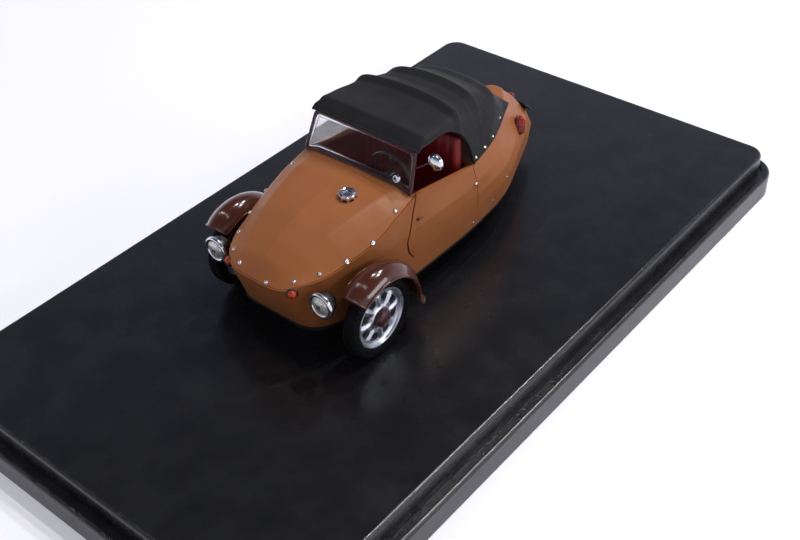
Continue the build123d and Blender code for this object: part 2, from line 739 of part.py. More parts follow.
# Headlamps: a bowl on an arm from the body, a ring round its mouth and a crowned lens
lamp_x, lamp_y, lamp_h = lamp_place
bowl_radius = lamp_radius - lamp_wall / 2
lens_radius = lamp_radius - lamp_ring
lens_rim_x = lamp_ring_depth / 2
for side_name, side in SIDES.items():
    lamp_plane = Plane(origin=(lamp_x, side * lamp_y, road + lamp_h), x_dir=(1, 0, 0), z_dir=(0, -1, 0))
    lamp_axis = Axis((lamp_x, side * lamp_y, road + lamp_h), (1, 0, 0))
    with BuildPart() as bowl:
        with BuildSketch(lamp_plane):
            with BuildLine():
                outside = EllipticalCenterArc((0, 0), lamp_length, bowl_radius, 90, arc_size=90)
                inside = EllipticalCenterArc(
                    (0, 0), lamp_length - lamp_wall, bowl_radius - lamp_wall, 90, arc_size=90
                )
                Line(outside @ 0, inside @ 0)
                Line(outside @ 1, inside @ 1)
            make_face()
        revolve(axis=lamp_axis)
        with BuildSketch(Plane.XZ.offset(-side * (lamp_y - bowl_radius / 2))):
            with Locations((lamp_x - lamp_stalk_back, road + lamp_h)):
                Circle(lamp_stalk)
        extrude(amount=side * lamp_y / 2)
        add(outer_form, mode=Mode.SUBTRACT)
    keep(bowl.part, f"headlamp_bowl_{side_name}")
    with BuildPart() as ring:
        with BuildSketch(lamp_plane):
            with Locations((lamp_ring_depth / 2, lamp_radius - lamp_ring / 2)):
                RectangleRounded(lamp_ring_depth, lamp_ring, lamp_ring / 4)
        revolve(axis=lamp_axis)
    keep(ring.part, f"headlamp_ring_{side_name}")
    with BuildPart() as lens:
        with BuildSketch(lamp_plane):
            with BuildLine():
                Polyline(
                    (lens_rim_x + lamp_lens_crown, 0), (0, 0), (0, lens_radius), (lens_rim_x, lens_radius)
                )
                EllipticalCenterArc((lens_rim_x, 0), lamp_lens_crown, lens_radius, 0, arc_size=90)
            make_face()
        revolve(axis=lamp_axis)
    keep(lens.part, f"headlamp_lens_{side_name}")


def side_lamp(place, heading, side):
    """The plane of a small lamp on the body's side, whose normal is heading from straight ahead."""
    x, y, h = place
    away = (math.cos(math.radians(heading)), side * math.sin(math.radians(heading)), 0)
    return Plane(origin=(x, side * y, road + h), x_dir=(0, 0, 1), z_dir=away)


# Indicators and tail lamps, each seated on the curved panel
for side_name, side in SIDES.items():
    with BuildPart() as indicator:
        with BuildSketch(side_lamp(indicator_place, indicator_heading, side).offset(-indicator_length)):
            Circle(indicator_radius)
        extrude(amount=3 * indicator_length)
        add(outer_form, mode=Mode.SUBTRACT)
    keep(indicator.part, f"indicator_{side_name}")
    with BuildPart() as tail_lamp:
        with BuildSketch(side_lamp(tail_lamp_place, tail_lamp_heading, side).offset(-tail_lamp_depth)):
            SlotOverall(tail_lamp_height, tail_lamp_width)
        extrude(amount=2 * tail_lamp_depth)
        add(outer_form, mode=Mode.SUBTRACT)
    keep(tail_lamp.part, f"tail_lamp_{side_name}")

# Number plate and its lamp, on the sloping tail
plate_turn = math.radians(plate_slope)
plate_out = (-math.cos(plate_turn), 0, math.sin(plate_turn))
with BuildPart() as number_plate:
    with BuildSketch(
        Plane(origin=(plate_place[0], 0, road + plate_place[1]), x_dir=(0, 1, 0), z_dir=plate_out).offset(
            -plate_thickness
        )
    ):
        RectangleRounded(plate_width, plate_height, plate_thickness)
    extrude(amount=2 * plate_thickness)
    add(outer_form, mode=Mode.SUBTRACT)
keep(number_plate.part, "number_plate")
with BuildPart() as plate_lamp:
    with BuildSketch(
        Plane(
            origin=(plate_lamp_place[0], 0, road + plate_lamp_place[1]), x_dir=(0, 1, 0), z_dir=plate_out
        ).offset(-plate_lamp_length)
    ):
        Circle(plate_lamp_radius)
    extrude(amount=2 * plate_lamp_length)
    add(outer_form, mode=Mode.SUBTRACT)
    add(number_plate.part, mode=Mode.SUBTRACT)
keep(plate_lamp.part, "plate_lamp")

# Filler cap
with BuildPart() as filler_cap:
    with BuildSketch(Plane.XY.offset(road + filler_top_h)):
        with Locations(filler_place):
            Circle(filler_radius)
    extrude(amount=-2 * filler_radius)
    fillet(filler_cap.faces().sort_by(Axis.Z)[-1].edges(), filler_edge)
    add(under_bonnet, mode=Mode.SUBTRACT)
keep(filler_cap.part, "filler_cap")

# Bench seat: cushion and backrest
with BuildPart() as cushion:
    with BuildSketch(Plane.XZ):
        with BuildLine():
            FilletPolyline(
                (seat_heel_x, road + sill_h + seat_gap), (seat_front_x, road + sill_h + seat_gap),
                (seat_front_x, road + seat_h), (seat_heel_x, road + seat_h),
                radius=[0, 0, 2 * seat_edge, seat_edge], close=True,
            )
        make_face()
    extrude(amount=cabin_half, both=True)
keep(cushion.part, "seat_cushion")
with BuildPart() as backrest:
    with BuildSketch(Plane.XZ):
        with BuildLine():
            FilletPolyline(
                (seat_back_foot_x, road + sill_h + seat_gap),
                (seat_heel_x - seat_gap, road + sill_h + seat_gap),
                (seat_heel_x - seat_gap, road + seat_h),
                (seat_back_top[0] + seat_back_thickness, road + seat_back_top[1]),
                (seat_back_top[0], road + seat_back_top[1]),
                radius=[0, 0, seat_edge, seat_edge, seat_edge], close=True,
            )
        make_face()
    extrude(amount=cabin_half, both=True)
keep(backrest.part, "seat_backrest")

# Dashboard: hangs from the bonnet's underside
with BuildPart() as dashboard:
    add(slab((bonnet_back_x, bonnet_back_x + dash_thickness), (dash_low_h, BEYOND), cabin_half))
    add(under_skin, mode=Mode.INTERSECT)
keep(dashboard.part, "dashboard")

# Steering wheel: rim, spokes, hub and the column up to the dashboard
lean = math.radians(hand_wheel_lean)
column_way = Vector(math.cos(lean), 0, -math.sin(lean))
hand_x, hand_y, hand_h = hand_wheel_place
hand_plane = Plane(origin=(hand_x, hand_y, road + hand_h), x_dir=(0, 1, 0), z_dir=column_way)
with BuildPart() as hand_wheel:
    with BuildSketch(Plane(origin=hand_plane.origin, x_dir=hand_plane.x_dir, z_dir=hand_plane.y_dir)):
        with Locations((hand_wheel_radius, 0)):
            Circle(hand_wheel_rim)
    revolve(axis=Axis(hand_plane.origin, column_way))
    with BuildSketch(hand_plane):
        with PolarLocations(hand_wheel_radius / 2, 3, start_angle=90):
            Rectangle(hand_wheel_radius, spoke_width)
    extrude(amount=spoke_width / 2, both=True)
    with BuildSketch(hand_plane):
        Circle(hand_wheel_hub)
    extrude(amount=spoke_width, both=True)
    with BuildSketch(hand_plane):
        Circle(column_radius)
    extrude(amount=2 * hand_wheel_radius)
    add(slab((bonnet_back_x, BEYOND), (0, BEYOND)), mode=Mode.SUBTRACT)
keep(hand_wheel.part, "steering_wheel")

# Instrument pod, against the bonnet's rear edge in front of the driver
with BuildPart() as pod:
    with BuildSketch(Plane.YZ.offset(bonnet_back_x)):
        with Locations((pod_place[0], road + pod_place[1])):
            Circle(pod_radius)
    extrude(amount=-pod_length)
    add(screen_frame.part, mode=Mode.SUBTRACT)
keep(pod.part, "instrument_pod")
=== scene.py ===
"""Looks for a 1:43 scale model of a three-wheeled light car on its two-tier display plinth.

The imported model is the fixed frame. Lengths here are millimetres in the model's frame: X the way
the car faces, Y its left, Z up from the plinth's underside. Meshes are turned to metres as they
are made. Heights named h are above the road, which is the plinth's top face.
"""

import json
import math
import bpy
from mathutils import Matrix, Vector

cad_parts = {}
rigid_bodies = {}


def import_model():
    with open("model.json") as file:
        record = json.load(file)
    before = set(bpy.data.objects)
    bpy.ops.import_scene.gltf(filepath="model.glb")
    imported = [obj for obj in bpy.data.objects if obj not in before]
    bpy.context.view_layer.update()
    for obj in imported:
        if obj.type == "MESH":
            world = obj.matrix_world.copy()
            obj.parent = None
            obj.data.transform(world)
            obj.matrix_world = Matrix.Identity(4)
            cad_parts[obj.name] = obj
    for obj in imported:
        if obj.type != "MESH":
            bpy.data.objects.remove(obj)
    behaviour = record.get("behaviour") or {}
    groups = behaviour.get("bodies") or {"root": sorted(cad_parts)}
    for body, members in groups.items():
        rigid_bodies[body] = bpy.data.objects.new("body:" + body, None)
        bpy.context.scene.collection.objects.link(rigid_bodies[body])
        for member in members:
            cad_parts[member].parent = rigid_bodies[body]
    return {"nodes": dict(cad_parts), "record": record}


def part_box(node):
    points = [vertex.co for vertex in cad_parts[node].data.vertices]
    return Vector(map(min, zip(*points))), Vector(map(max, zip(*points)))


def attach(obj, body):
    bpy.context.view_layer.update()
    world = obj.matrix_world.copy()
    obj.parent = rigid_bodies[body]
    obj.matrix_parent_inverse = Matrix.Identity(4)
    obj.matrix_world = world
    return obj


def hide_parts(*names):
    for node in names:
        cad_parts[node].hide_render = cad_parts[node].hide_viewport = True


bl_info = {
    "name": "Three-wheeled car model",
    "version": (1, 0, 0),
    "blender": (4, 5, 0),
    "location": "3D View > Sidebar > Model car",
    "description": "Dresses the packed scale model with its hood, seat, fittings and finishes",
    "category": "Object",
}

import bpy
import bmesh
import numpy as np
from mathutils import Matrix, Vector
from mathutils.bvhtree import BVHTree

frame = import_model()

MM = 0.001
ROAD = 7.8                  # height of the plinth's top face
CAR = "car_and_plinth"
AXLE_H = 6.7
FRONT_AXLE_X = 18.9
REAR_AXLE_X = -26.7
HALF_TRACK = 14.0
WHEEL_PLACES = {
    "front_left": (FRONT_AXLE_X, HALF_TRACK, 1),
    "front_right": (FRONT_AXLE_X, -HALF_TRACK, -1),
    "rear": (REAR_AXLE_X, 0.0, 1),
}
SIDES = {"left": 1, "right": -1}


def linear(code):
    """An sRGB hex code as linear red, green, blue and alpha."""
    channels = [int(code[i:i + 2], 16) / 255 for i in (0, 2, 4)]
    bright = [c / 12.92 if c <= 0.04045 else ((c + 0.055) / 1.055) ** 2.4 for c in channels]
    return (*bright, 1.0)


def grid_faces(rows, columns, wrap_rows=False, wrap_columns=False):
    """Quads of a grid of points. Rows crossed with columns gives the outward side."""
    index = np.arange(rows * columns).reshape(rows, columns)
    if wrap_rows:
        index = np.vstack([index, index[:1]])
    if wrap_columns:
        index = np.hstack([index, index[:, :1]])
    corners = [index[:-1, :-1], index[1:, :-1], index[1:, 1:], index[:-1, 1:]]
    return np.stack(corners, axis=-1).reshape(-1, 4)


def sheet_patch(grid, wrap_columns=False):
    """A surface through a grid of points, as (points, faces)."""
    rows, columns = grid.shape[:2]
    return grid.reshape(-1, 3), grid_faces(rows, columns, False, wrap_columns)


def unit(vectors):
    """Vectors of length one, along the last axis."""
    length = np.linalg.norm(vectors, axis=-1, keepdims=True)
    return vectors / np.maximum(length, 1e-12)


def full_turn(steps):
    """Even angles once round, in radians."""
    return np.linspace(0, 2 * np.pi, steps, endpoint=False)


def superellipse(around, power):
    """Points about a middle, moved along their rays onto a superellipse of that power."""
    return around / (np.abs(around) ** power).sum(axis=-1, keepdims=True) ** (1 / power)


def length_along(path):
    """How far along a path each of its points lies."""
    return np.concatenate([[0], np.cumsum(np.linalg.norm(np.diff(path, axis=0), axis=1))])


def capped_patch(grid):
    """A tube through a grid of points, each end drawn to the middle of its last ring."""
    poles = grid[[0, -1]].mean(axis=1, keepdims=True) + 0 * grid[[0, -1]]
    return sheet_patch(np.concatenate([poles[:1], grid, poles[1:]]), wrap_columns=True)


def shell_patch(grid, thickness, keep=None, level=0, folded=False):
    """A wall: the grid, the same grid moved in by thickness along its normals, and the rims.
    The normal is the row direction crossed with the column direction, and straight up in the last
    level columns, where a fan of points has none. keep is a mask of quads. A folded sheet meets
    itself along its first row, which has no rim."""
    rows, columns = grid.shape[:2]
    normal = unit(np.cross(np.gradient(grid, axis=0), np.gradient(grid, axis=1)))
    if level:
        normal[:, -level:] = (0, 0, 1)
    inner = grid - thickness * normal
    faces = grid_faces(rows, columns)
    if keep is not None:
        faces = faces[keep.ravel()]
    count = rows * columns
    index = np.arange(count).reshape(rows, columns)

    def rim(line):
        return np.stack([line[:-1], line[1:], line[1:] + count, line[:-1] + count], axis=-1)

    walls = [
        rim(index[-1])[:, ::-1], rim(index[:, 0])[:, ::-1], rim(index[:, -1]),
    ]
    if not folded:
        walls.append(rim(index[0]))
    faces = np.vstack([faces, faces[:, ::-1] + count, *walls])
    return np.vstack([grid.reshape(-1, 3), inner.reshape(-1, 3)]), faces


def lathe_patch(profile, centre, axis, steps=48):
    """A profile of (distance along the axis, radius) turned round the axis through centre."""
    profile = np.asarray(profile, float)
    along = unit(np.asarray(axis, float))
    helper = np.array([0.0, 0.0, 1.0]) if abs(along[2]) < 0.9 else np.array([1.0, 0.0, 0.0])
    first = unit(np.cross(helper, along))
    second = np.cross(along, first)
    angle = full_turn(steps)
    ring = np.cos(angle)[:, None] * first + np.sin(angle)[:, None] * second
    grid = profile[:, None, :1] * along + profile[:, None, 1:] * ring[None]
    return sheet_patch(grid + np.asarray(centre, float), wrap_columns=True)


def tube_patch(path, radius, up=(0, 0, 1), sides=10, closed=False):
    """A round bead along a path: a circle carried across the path's tangent, its ends closed."""
    path = np.asarray(path, float)
    radius = np.broadcast_to(np.asarray(radius, float), (len(path),))
    if closed:
        tangent = unit(np.roll(path, -1, 0) - np.roll(path, 1, 0))
    else:
        tangent = unit(np.gradient(path, axis=0))
    side = unit(np.cross(tangent, np.asarray(up, float)))
    over = np.cross(side, tangent)
    if not closed:
        path = np.vstack([path[:1], path, path[-1:]])
        side = np.vstack([side[:1], side, side[-1:]])
        over = np.vstack([over[:1], over, over[-1:]])
        radius = np.concatenate([[0], radius, [0]])
    angle = full_turn(sides)
    ring = side[:, None] * np.cos(angle)[:, None] + over[:, None] * np.sin(angle)[:, None]
    grid = path[:, None] + radius[:, None, None] * ring
    return grid.reshape(-1, 3), grid_faces(len(path), sides, closed, True)


def joined(patches):
    """Several (points, faces) patches as one."""
    points, faces, start = [], [], 0
    for patch_points, patch_faces in patches:
        points.append(patch_points)
        faces.append(np.asarray(patch_faces) + start)
        start += len(patch_points)
    return np.vstack(points), np.vstack(faces)


def make_piece(name, patch, material, node=None, body=CAR, sharp=35.0, close=True):
    """One mesh object from a patch in millimetres, shaded smooth up to the sharp angle. It takes
    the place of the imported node, where one is given. close merges coincident points and turns
    the faces of a closed form outwards."""
    points, faces = patch
    mesh = bpy.data.meshes.new(name)
    mesh.from_pydata((points * MM).tolist(), [], np.asarray(faces).tolist())
    if close:
        form = bmesh.new()
        form.from_mesh(mesh)
        bmesh.ops.remove_doubles(form, verts=form.verts, dist=1e-7)
        bmesh.ops.dissolve_degenerate(form, edges=form.edges, dist=1e-8)
        bmesh.ops.recalc_face_normals(form, faces=form.faces)
        form.to_mesh(mesh)
        form.free()
    mesh.shade_smooth()
    mesh.set_sharp_from_angle(angle=math.radians(sharp))
    piece = bpy.data.objects.new(name, mesh)
    bpy.context.scene.collection.objects.link(piece)
    mesh.materials.append(bpy.data.materials[material])
    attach(piece, body)
    if node:
        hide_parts(node)


def rounded_interp(x, places, values, width):
    """Linear interpolation whose corners are rounded: the mean over a bell of that width."""
    offsets = np.linspace(-2, 2, 9)
    weights = np.exp(-offsets ** 2)
    weights = weights / weights.sum()
    x = np.asarray(x, float)
    return sum(w * np.interp(x + o * width, places, values) for w, o in zip(weights, offsets))


def lookup(table, first, step, x, y):
    """Bilinear interpolation in a table whose rows and columns start at first, step apart."""
    row = np.clip((x - first[0]) / step, 0, table.shape[0] - 1.001)
    column = np.clip((y - first[1]) / step, 0, table.shape[1] - 1.001)
    i, j = row.astype(int), column.astype(int)
    a, b = row - i, column - j
    low = table[i, j] * (1 - b) + table[i, j + 1] * b
    high = table[i + 1, j] * (1 - b) + table[i + 1, j + 1] * b
    return low * (1 - a) + high * a


SILL_H = 5.2
DECK_H = 17.0
DOOR_REAR_X = -8.6
DOOR_FOOT_H = 9.2
DOOR_TOP_H = (16.9, 19.35)    # at the rear and at the front
SCREEN_FOOT, SCREEN_TOP = (6.1, 19.9), (4.0, 25.7)      # x and height of the windscreen's ends
BONNET_BACK_X = 5.7
# Plan outlines of the body: height, then x and y of nose, brow, cowl, door, quarter, haunch, tail
BODY_LEVELS = (
    (SILL_H, (26.2, 7.4), (21.3, 9.7), (12.0, 11.3), (-7.0, 11.4), (-18.5, 10.3), (-33.5, 4.1), (-39.8, 0.7)),
    (9.2, (27.9, 6.4), (22.8, 9.5), (13.0, 11.5), (-7.0, 11.9), (-18.5, 11.1), (-31.8, 5.0), (-37.4, 0.9)),
    (11.6, (28.9, 5.9), (23.6, 9.2), (14.0, 11.5), (-7.0, 12.1), (-18.0, 11.1), (-29.6, 5.2), (-35.2, 1.0)),
    (14.0, (29.7, 5.5), (24.3, 9.0), (14.5, 11.5), (-7.0, 12.0), (-16.5, 10.6), (-27.6, 5.0), (-33.2, 1.0)),
    (DECK_H, (30.5, 5.2), (24.6, 8.9), (14.5, 11.3), (-7.5, 11.1), (-15.5, 9.6), (-25.3, 4.9), (-29.7, 1.0)),
    (21.5, (31.5, 5.0), (24.6, 8.7), (14.0, 11.0), (-7.0, 10.4), (-11.5, 9.2), (-20.0, 4.8), (-25.0, 1.0)),
)
CORNER_RADII = np.array((4.4, 12.0, 30.0, 60.0, 30.0, 14.0, 1.2))
CREASE = 0.32               # rounding of the body's long creases
# Cross-sections of the bonnet: x, height of the centre, then y and height of the inner crease,
# the outer crease and the hem
BONNET_SECTIONS = (
    (4.6, 20.1, (8.2, 20.0), (10.8, 19.6), (11.1, 19.4)),
    (11.0, 20.5, (7.8, 20.0), (10.7, 18.3), (11.3, 17.6)),
    (16.0, 20.1, (7.1, 19.2), (9.6, 17.5), (11.1, 15.9)),
    (20.0, 19.2, (6.3, 18.3), (8.2, 17.0), (10.2, 15.0)),
    (24.0, 17.6, (5.1, 16.8), (6.5, 16.1), (9.0, 14.4)),
    (27.0, 15.9, (3.8, 15.4), (5.0, 14.9), (7.3, 14.2)),
    (31.0, 12.0, (2.5, 12.2), (4.0, 12.3), (6.5, 11.8)),
)


def half_outline(points):
    """The left half of a plan outline from the nose's middle to the tail's: straight runs, and at
    each corner a parabola that leaves the runs where a round corner would."""
    points = np.asarray(points, float)
    around = np.vstack([points[:1] * (1, -1), points, points[-1:] * (1, -1)])
    steps = np.diff(around, axis=0)
    lengths = np.linalg.norm(steps, axis=1)
    ways = steps / lengths[:, None]
    half_turn = np.arccos(np.clip((ways[:-1] * ways[1:]).sum(1), -1, 1)) / 2
    reach = np.minimum(CORNER_RADII * np.tan(half_turn), 0.45 * np.minimum(lengths[:-1], lengths[1:]))
    enter = points - reach[:, None] * ways[:-1]
    leave = points + reach[:, None] * ways[1:]
    share = np.linspace(0, 1, 9)[:, None, None]
    arcs = (1 - share) ** 2 * enter + 2 * share * (1 - share) * points + share ** 2 * leave
    starts = np.vstack([[(points[0, 0], 0)], leave])
    ends = np.vstack([enter, [(points[-1, 0], 0)]])
    run = np.linspace(0, 1, 8, endpoint=False)[1:, None, None]
    runs = starts * (1 - run) + ends * run
    path = [starts[:1]]
    for i in range(len(points)):
        path += [runs[:, i], arcs[:, i]]
    return np.vstack([*path, runs[:, -1], ends[-1:]])


def rounded_nose(half, bell=2.1, near=8.5, far=15.0):
    """A half outline whose nose is rounded further: near the middle each point becomes the mean
    of the outline over a bell of that length, which fades out between near and far."""
    whole = np.vstack([half[:0:-1] * (1, -1), half])
    length = length_along(whole)
    own = length[len(half) - 1:]
    width = bell * np.clip((far - (own - own[0])) / (far - near), 0, 1)
    return np.stack([rounded_interp(own, length, whole[:, i], width) for i in (0, 1)], axis=-1)


LEVEL_H = np.array([SILL_H - 2] + [level[0] for level in BODY_LEVELS] + [23.5])
outlines = np.stack([rounded_nose(half_outline(level[1:])) for level in BODY_LEVELS])
below = outlines[0] + (outlines[0] - outlines[1]) * 2 / (DOOR_FOOT_H - SILL_H)
above = outlines[-1] + (outlines[-1] - outlines[-2]) * 2 / (21.5 - DECK_H)
OUTLINES = np.concatenate([below[None], outlines, above[None]])
LAST = OUTLINES.shape[1] - 1


def body_at(along, h):
    """A point of the body's left side: along runs from the nose's middle, 0, to the tail's, LAST.
    The plan outlines are blended linearly in height, the creases between them rounded."""
    along, h = np.broadcast_arrays(np.asarray(along, float), np.asarray(h, float))
    place = np.arange(LAST + 1)
    x, y = np.zeros(along.shape), np.zeros(along.shape)
    for level, share in zip(OUTLINES, np.eye(len(LEVEL_H))):
        weight = rounded_interp(h, LEVEL_H, share, CREASE)
        x = x + weight * np.interp(along, place, level[:, 0])
        y = y + weight * np.interp(along, place, level[:, 1])
    return np.stack([x, y, h + ROAD], axis=-1)


TABLE_STEP = 0.1
table_h = np.arange(SILL_H - 1, 22.0, TABLE_STEP)
table_x = np.arange(-42.0, 32.0, TABLE_STEP)
every = np.arange(0, LAST + 0.01, 0.25)
rows_x = body_at(every[None], table_h[:, None])[..., 0]
ALONG = np.stack([np.interp(-table_x, -row, every) for row in rows_x])


def along_of(x, h):
    """How far along the body's side the point at x and height h lies."""
    x, h = np.broadcast_arrays(np.asarray(x, float), np.asarray(h, float))
    return lookup(ALONG, (table_h[0], table_x[0]), TABLE_STEP, h, x)


def bonnet_table():
    """Height of the bonnet over x and |y|: its sections joined linearly, and every crease rounded
    by a bell both ways."""
    x = np.arange(2.0, 33.0, TABLE_STEP)
    y = np.arange(0.0, 14.0, TABLE_STEP)
    places = [s[0] for s in BONNET_SECTIONS]
    slopes = [(s[3][1] - s[4][1]) / (s[4][0] - s[3][0]) for s in BONNET_SECTIONS]
    edges = [s[4][1] - k * (14.0 - s[4][0]) for s, k in zip(BONNET_SECTIONS, slopes)]
    points = [[0.0, s[2][0], s[3][0], s[4][0], 14.0] for s in BONNET_SECTIONS]
    levels = [[s[1], s[2][1], s[3][1], s[4][1], e] for s, e in zip(BONNET_SECTIONS, edges)]
    points, levels = np.array(points), np.array(levels)
    rows = []
    for at in x:
        across = [rounded_interp(at, places, points[:, i], 0.55) for i in range(5)]
        height = [rounded_interp(at, places, levels[:, i], 0.55) for i in range(5)]
        mirrored = np.concatenate([-np.array(across[:0:-1]), across])
        rows.append(rounded_interp(y, mirrored, np.concatenate([height[:0:-1], height]), 0.28))
    return np.array(rows)


BONNET = bonnet_table()


def bonnet_h(x, y):
    """Height of the bonnet's surface above the road."""
    return lookup(BONNET, (2.0, 0.0), TABLE_STEP, np.asarray(x, float), np.abs(y))


def hem_line(along):
    """Where the bonnet meets the body's side, for places along it."""
    along = np.asarray(along, float)
    h = np.arange(9.0, 21.4, 0.05)
    side = body_at(along[:, None], h[None])
    over = bonnet_h(side[..., 0], side[..., 1]) - h
    first = np.argmax(over < 0, axis=1)
    rows = np.arange(len(along))
    high, low = over[rows, first], over[rows, first - 1]
    return h[first - 1] + 0.05 * low / (low - high)


def door_front_x(h):
    """The curved front edge of the door."""
    heights = (0.0, DOOR_FOOT_H, 10.6, 12.6, DOOR_TOP_H[1])
    return rounded_interp(h, heights, (7.0, 7.6, 8.6, 8.9, BONNET_BACK_X), 0.45)


def door_top_h(x):
    """The sloping top edge of the door."""
    return np.interp(x, (DOOR_REAR_X, BONNET_BACK_X), DOOR_TOP_H)


def other_side(patch):
    """The same patch on the car's right."""
    points, faces = patch
    return points * (1, -1, 1), np.asarray(faces)[:, ::-1]


def on_side(patch, side):
    """The patch as made, or mirrored to the right."""
    return patch if side > 0 else other_side(patch)


def seats_on(piece, places, direction):
    """Where rays in millimetres from the places meet a piece, as (point, outward normal) each."""
    mesh = piece.data
    tree = BVHTree.FromPolygons(
        [v.co / MM for v in mesh.vertices], [p.vertices for p in mesh.polygons]
    )
    way = Vector(direction).normalized()
    seats = []
    for place in places:
        point, normal, _, _ = tree.ray_cast(Vector(place), way)
        if point is None:
            raise RuntimeError(f"{piece.name} isn't met from {tuple(place)}")
        seats.append((np.array(point), np.array(-normal if normal.dot(way) > 0 else normal)))
    return seats


def dome(radius, height, rim=0.0, steps=8):
    """Profile of a low dome on an upright rim, for a lathe: the bottom's middle, then the rim, then
    a quarter of an ellipse to the top."""
    turn = np.linspace(0, np.pi / 2, steps)
    arc = np.stack([rim + height * np.sin(turn), radius * np.cos(turn)], axis=-1)
    return np.vstack([[(0, 0), (0, radius)], arc])


def ring_profile(radius, width, depth, power=2.5, steps=24):
    """Profile of a ring's section for a lathe: a superellipse about (0, radius), closed on itself."""
    turn = np.linspace(0, 2 * np.pi, steps + 1)
    around = np.stack([np.cos(turn), np.sin(turn)], axis=-1)
    around = superellipse(around, power)
    return np.stack([depth / 2 * around[:, 0], radius + width / 2 * around[:, 1]], axis=-1)


def add_node(tree, kind, inputs=None, **settings):
    """Adds a node with its own settings. An input takes a value or another node's socket."""
    node = tree.nodes.new(kind)
    for name, value in settings.items():
        setattr(node, name, value)
    for name, value in (inputs or {}).items():
        if isinstance(value, bpy.types.NodeSocket):
            tree.links.new(value, node.inputs[name])
        else:
            node.inputs[name].default_value = value
    return node


def start_material(name):
    """A node material, its tree, and the coordinates in the object that wears it."""
    material = bpy.data.materials.new(name)
    material.use_nodes = True
    tree = material.node_tree
    tree.nodes.clear()
    return material, tree, add_node(tree, "ShaderNodeTexCoord").outputs["Object"]


def end_material(tree, surface):
    """Links a shader to the material's output."""
    add_node(tree, "ShaderNodeOutputMaterial", {"Surface": surface.outputs[0]})


def principled(material, values):
    """Ends a material with a principled shader of these values, and hands it over."""
    tree = material.node_tree
    end_material(tree, add_node(tree, "ShaderNodeBsdfPrincipled", values))
    return material


def noise(tree, size, detail, coordinates):
    """Noise from 0 to 1 in patches of size millimetres."""
    values = {"Vector": coordinates, "Scale": 1 / (size * MM), "Detail": detail}
    return add_node(tree, "ShaderNodeTexNoise", values).outputs["Fac"]


def bumped(tree, height, depth):
    """Normals bent by a height that stands depth millimetres high where it is one."""
    values = {"Height": height, "Distance": depth * MM, "Strength": 1.0}
    return add_node(tree, "ShaderNodeBump", values).outputs["Normal"]


def tinted(tree, colour, size, spread, coordinates):
    """A colour that drifts by spread about its value over patches of size millimetres."""
    ramp = add_node(tree, "ShaderNodeValToRGB", {"Fac": noise(tree, size, 3.0, coordinates)})
    dark = [c * (1 - spread) for c in colour[:3]]
    pale = [min(1.0, c * (1 + spread)) for c in colour[:3]]
    ramp.color_ramp.elements[0].position = 0.35
    ramp.color_ramp.elements[0].color = (*dark, 1)
    ramp.color_ramp.elements[1].position = 0.65
    ramp.color_ramp.elements[1].color = (*pale, 1)
    return ramp.outputs["Color"]


def varied(tree, size, low, high, coordinates):
    """A value that drifts from low to high over patches of size millimetres."""
    spread = add_node(
        tree, "ShaderNodeMapRange",
        {"Value": noise(tree, size, 4.0, coordinates), "From Min": 0.3, "From Max": 0.7,
         "To Min": low, "To Max": high},
    )
    return spread.outputs["Result"]


def grained(tree, size, depth, coordinates):
    """A bump of grains of size millimetres that stand depth millimetres high."""
    return bumped(tree, noise(tree, size, 2.0, coordinates), depth)


def sprayed_enamel(name, code, roughness, coat=0.0, peel=0.5, peel_depth=0.004):
    """Cellulose enamel sprayed on a casting: even colour with a fine orange peel, which breaks
    up the highlights, and a slightly dusty drift in gloss."""
    material, tree, place = start_material(name)
    return principled(material, {
        "Base Color": tinted(tree, linear(code), 7.0, 0.05, place),
        "Roughness": varied(tree, 2.5, roughness - 0.05, roughness + 0.07, place),
        "Normal": grained(tree, peel, peel_depth, place),
        "IOR": 1.38,
        "Coat Weight": coat,
        "Coat Roughness": 0.03,
    })


def moulded_plastic(name, code, roughness, grain=0.3, depth=0.004):
    """Injection moulded styrene or ABS: self coloured, with the die's fine spark texture."""
    material, tree, place = start_material(name)
    return principled(material, {
        "Base Color": tinted(tree, linear(code), 12.0, 0.08, place),
        "Roughness": varied(tree, 5.0, roughness - 0.04, roughness + 0.05, place),
        "Normal": grained(tree, grain, depth, place),
        "IOR": 1.53,
    })


def vacuum_chrome(name, code="dcdde2", roughness=0.12):
    """Vacuum metallised styrene: a bright mirror, a little softer than plated brass."""
    material, tree, place = start_material(name)
    return principled(material, {
        "Base Color": linear(code),
        "Metallic": 1.0,
        "Roughness": varied(tree, 0.8, roughness - 0.04, roughness + 0.08, place),
        "Normal": grained(tree, 0.5, 0.0012, place),
    })


def woven_hood_cloth(name, code, thread):
    """Hood cloth, moulded and painted matt black: two crossed sets of threads under dull paint.
    The real weave is under 0.1 mm at this scale, and is drawn coarser so that it shows."""
    material, tree, place = start_material(name)
    heights = []
    for direction in ("X", "Y"):
        wave = add_node(tree, "ShaderNodeTexWave", {
            "Vector": place, "Scale": 1 / (thread * MM) / math.tau * 2, "Distortion": 0.6, "Detail": 1.0,
        }, wave_type="BANDS", bands_direction=direction)
        heights.append(wave.outputs["Fac"])
    weave = add_node(tree, "ShaderNodeMath", {0: heights[0], 1: heights[1]}, operation="ADD")
    height = add_node(
        tree, "ShaderNodeMath", {0: noise(tree, 1.8, 2.0, place), 1: 1.2, 2: weave.outputs[0]},
        operation="MULTIPLY_ADD",
    )
    return principled(material, {
        "Base Color": tinted(tree, linear(code), 4.0, 0.12, place),
        "Roughness": varied(tree, 3.0, 0.62, 0.78, place),
        "Normal": bumped(tree, height.outputs[0], 0.012),
        "IOR": 1.38,
        "Sheen Weight": 0.03,
        "Sheen Roughness": 0.5,
    })


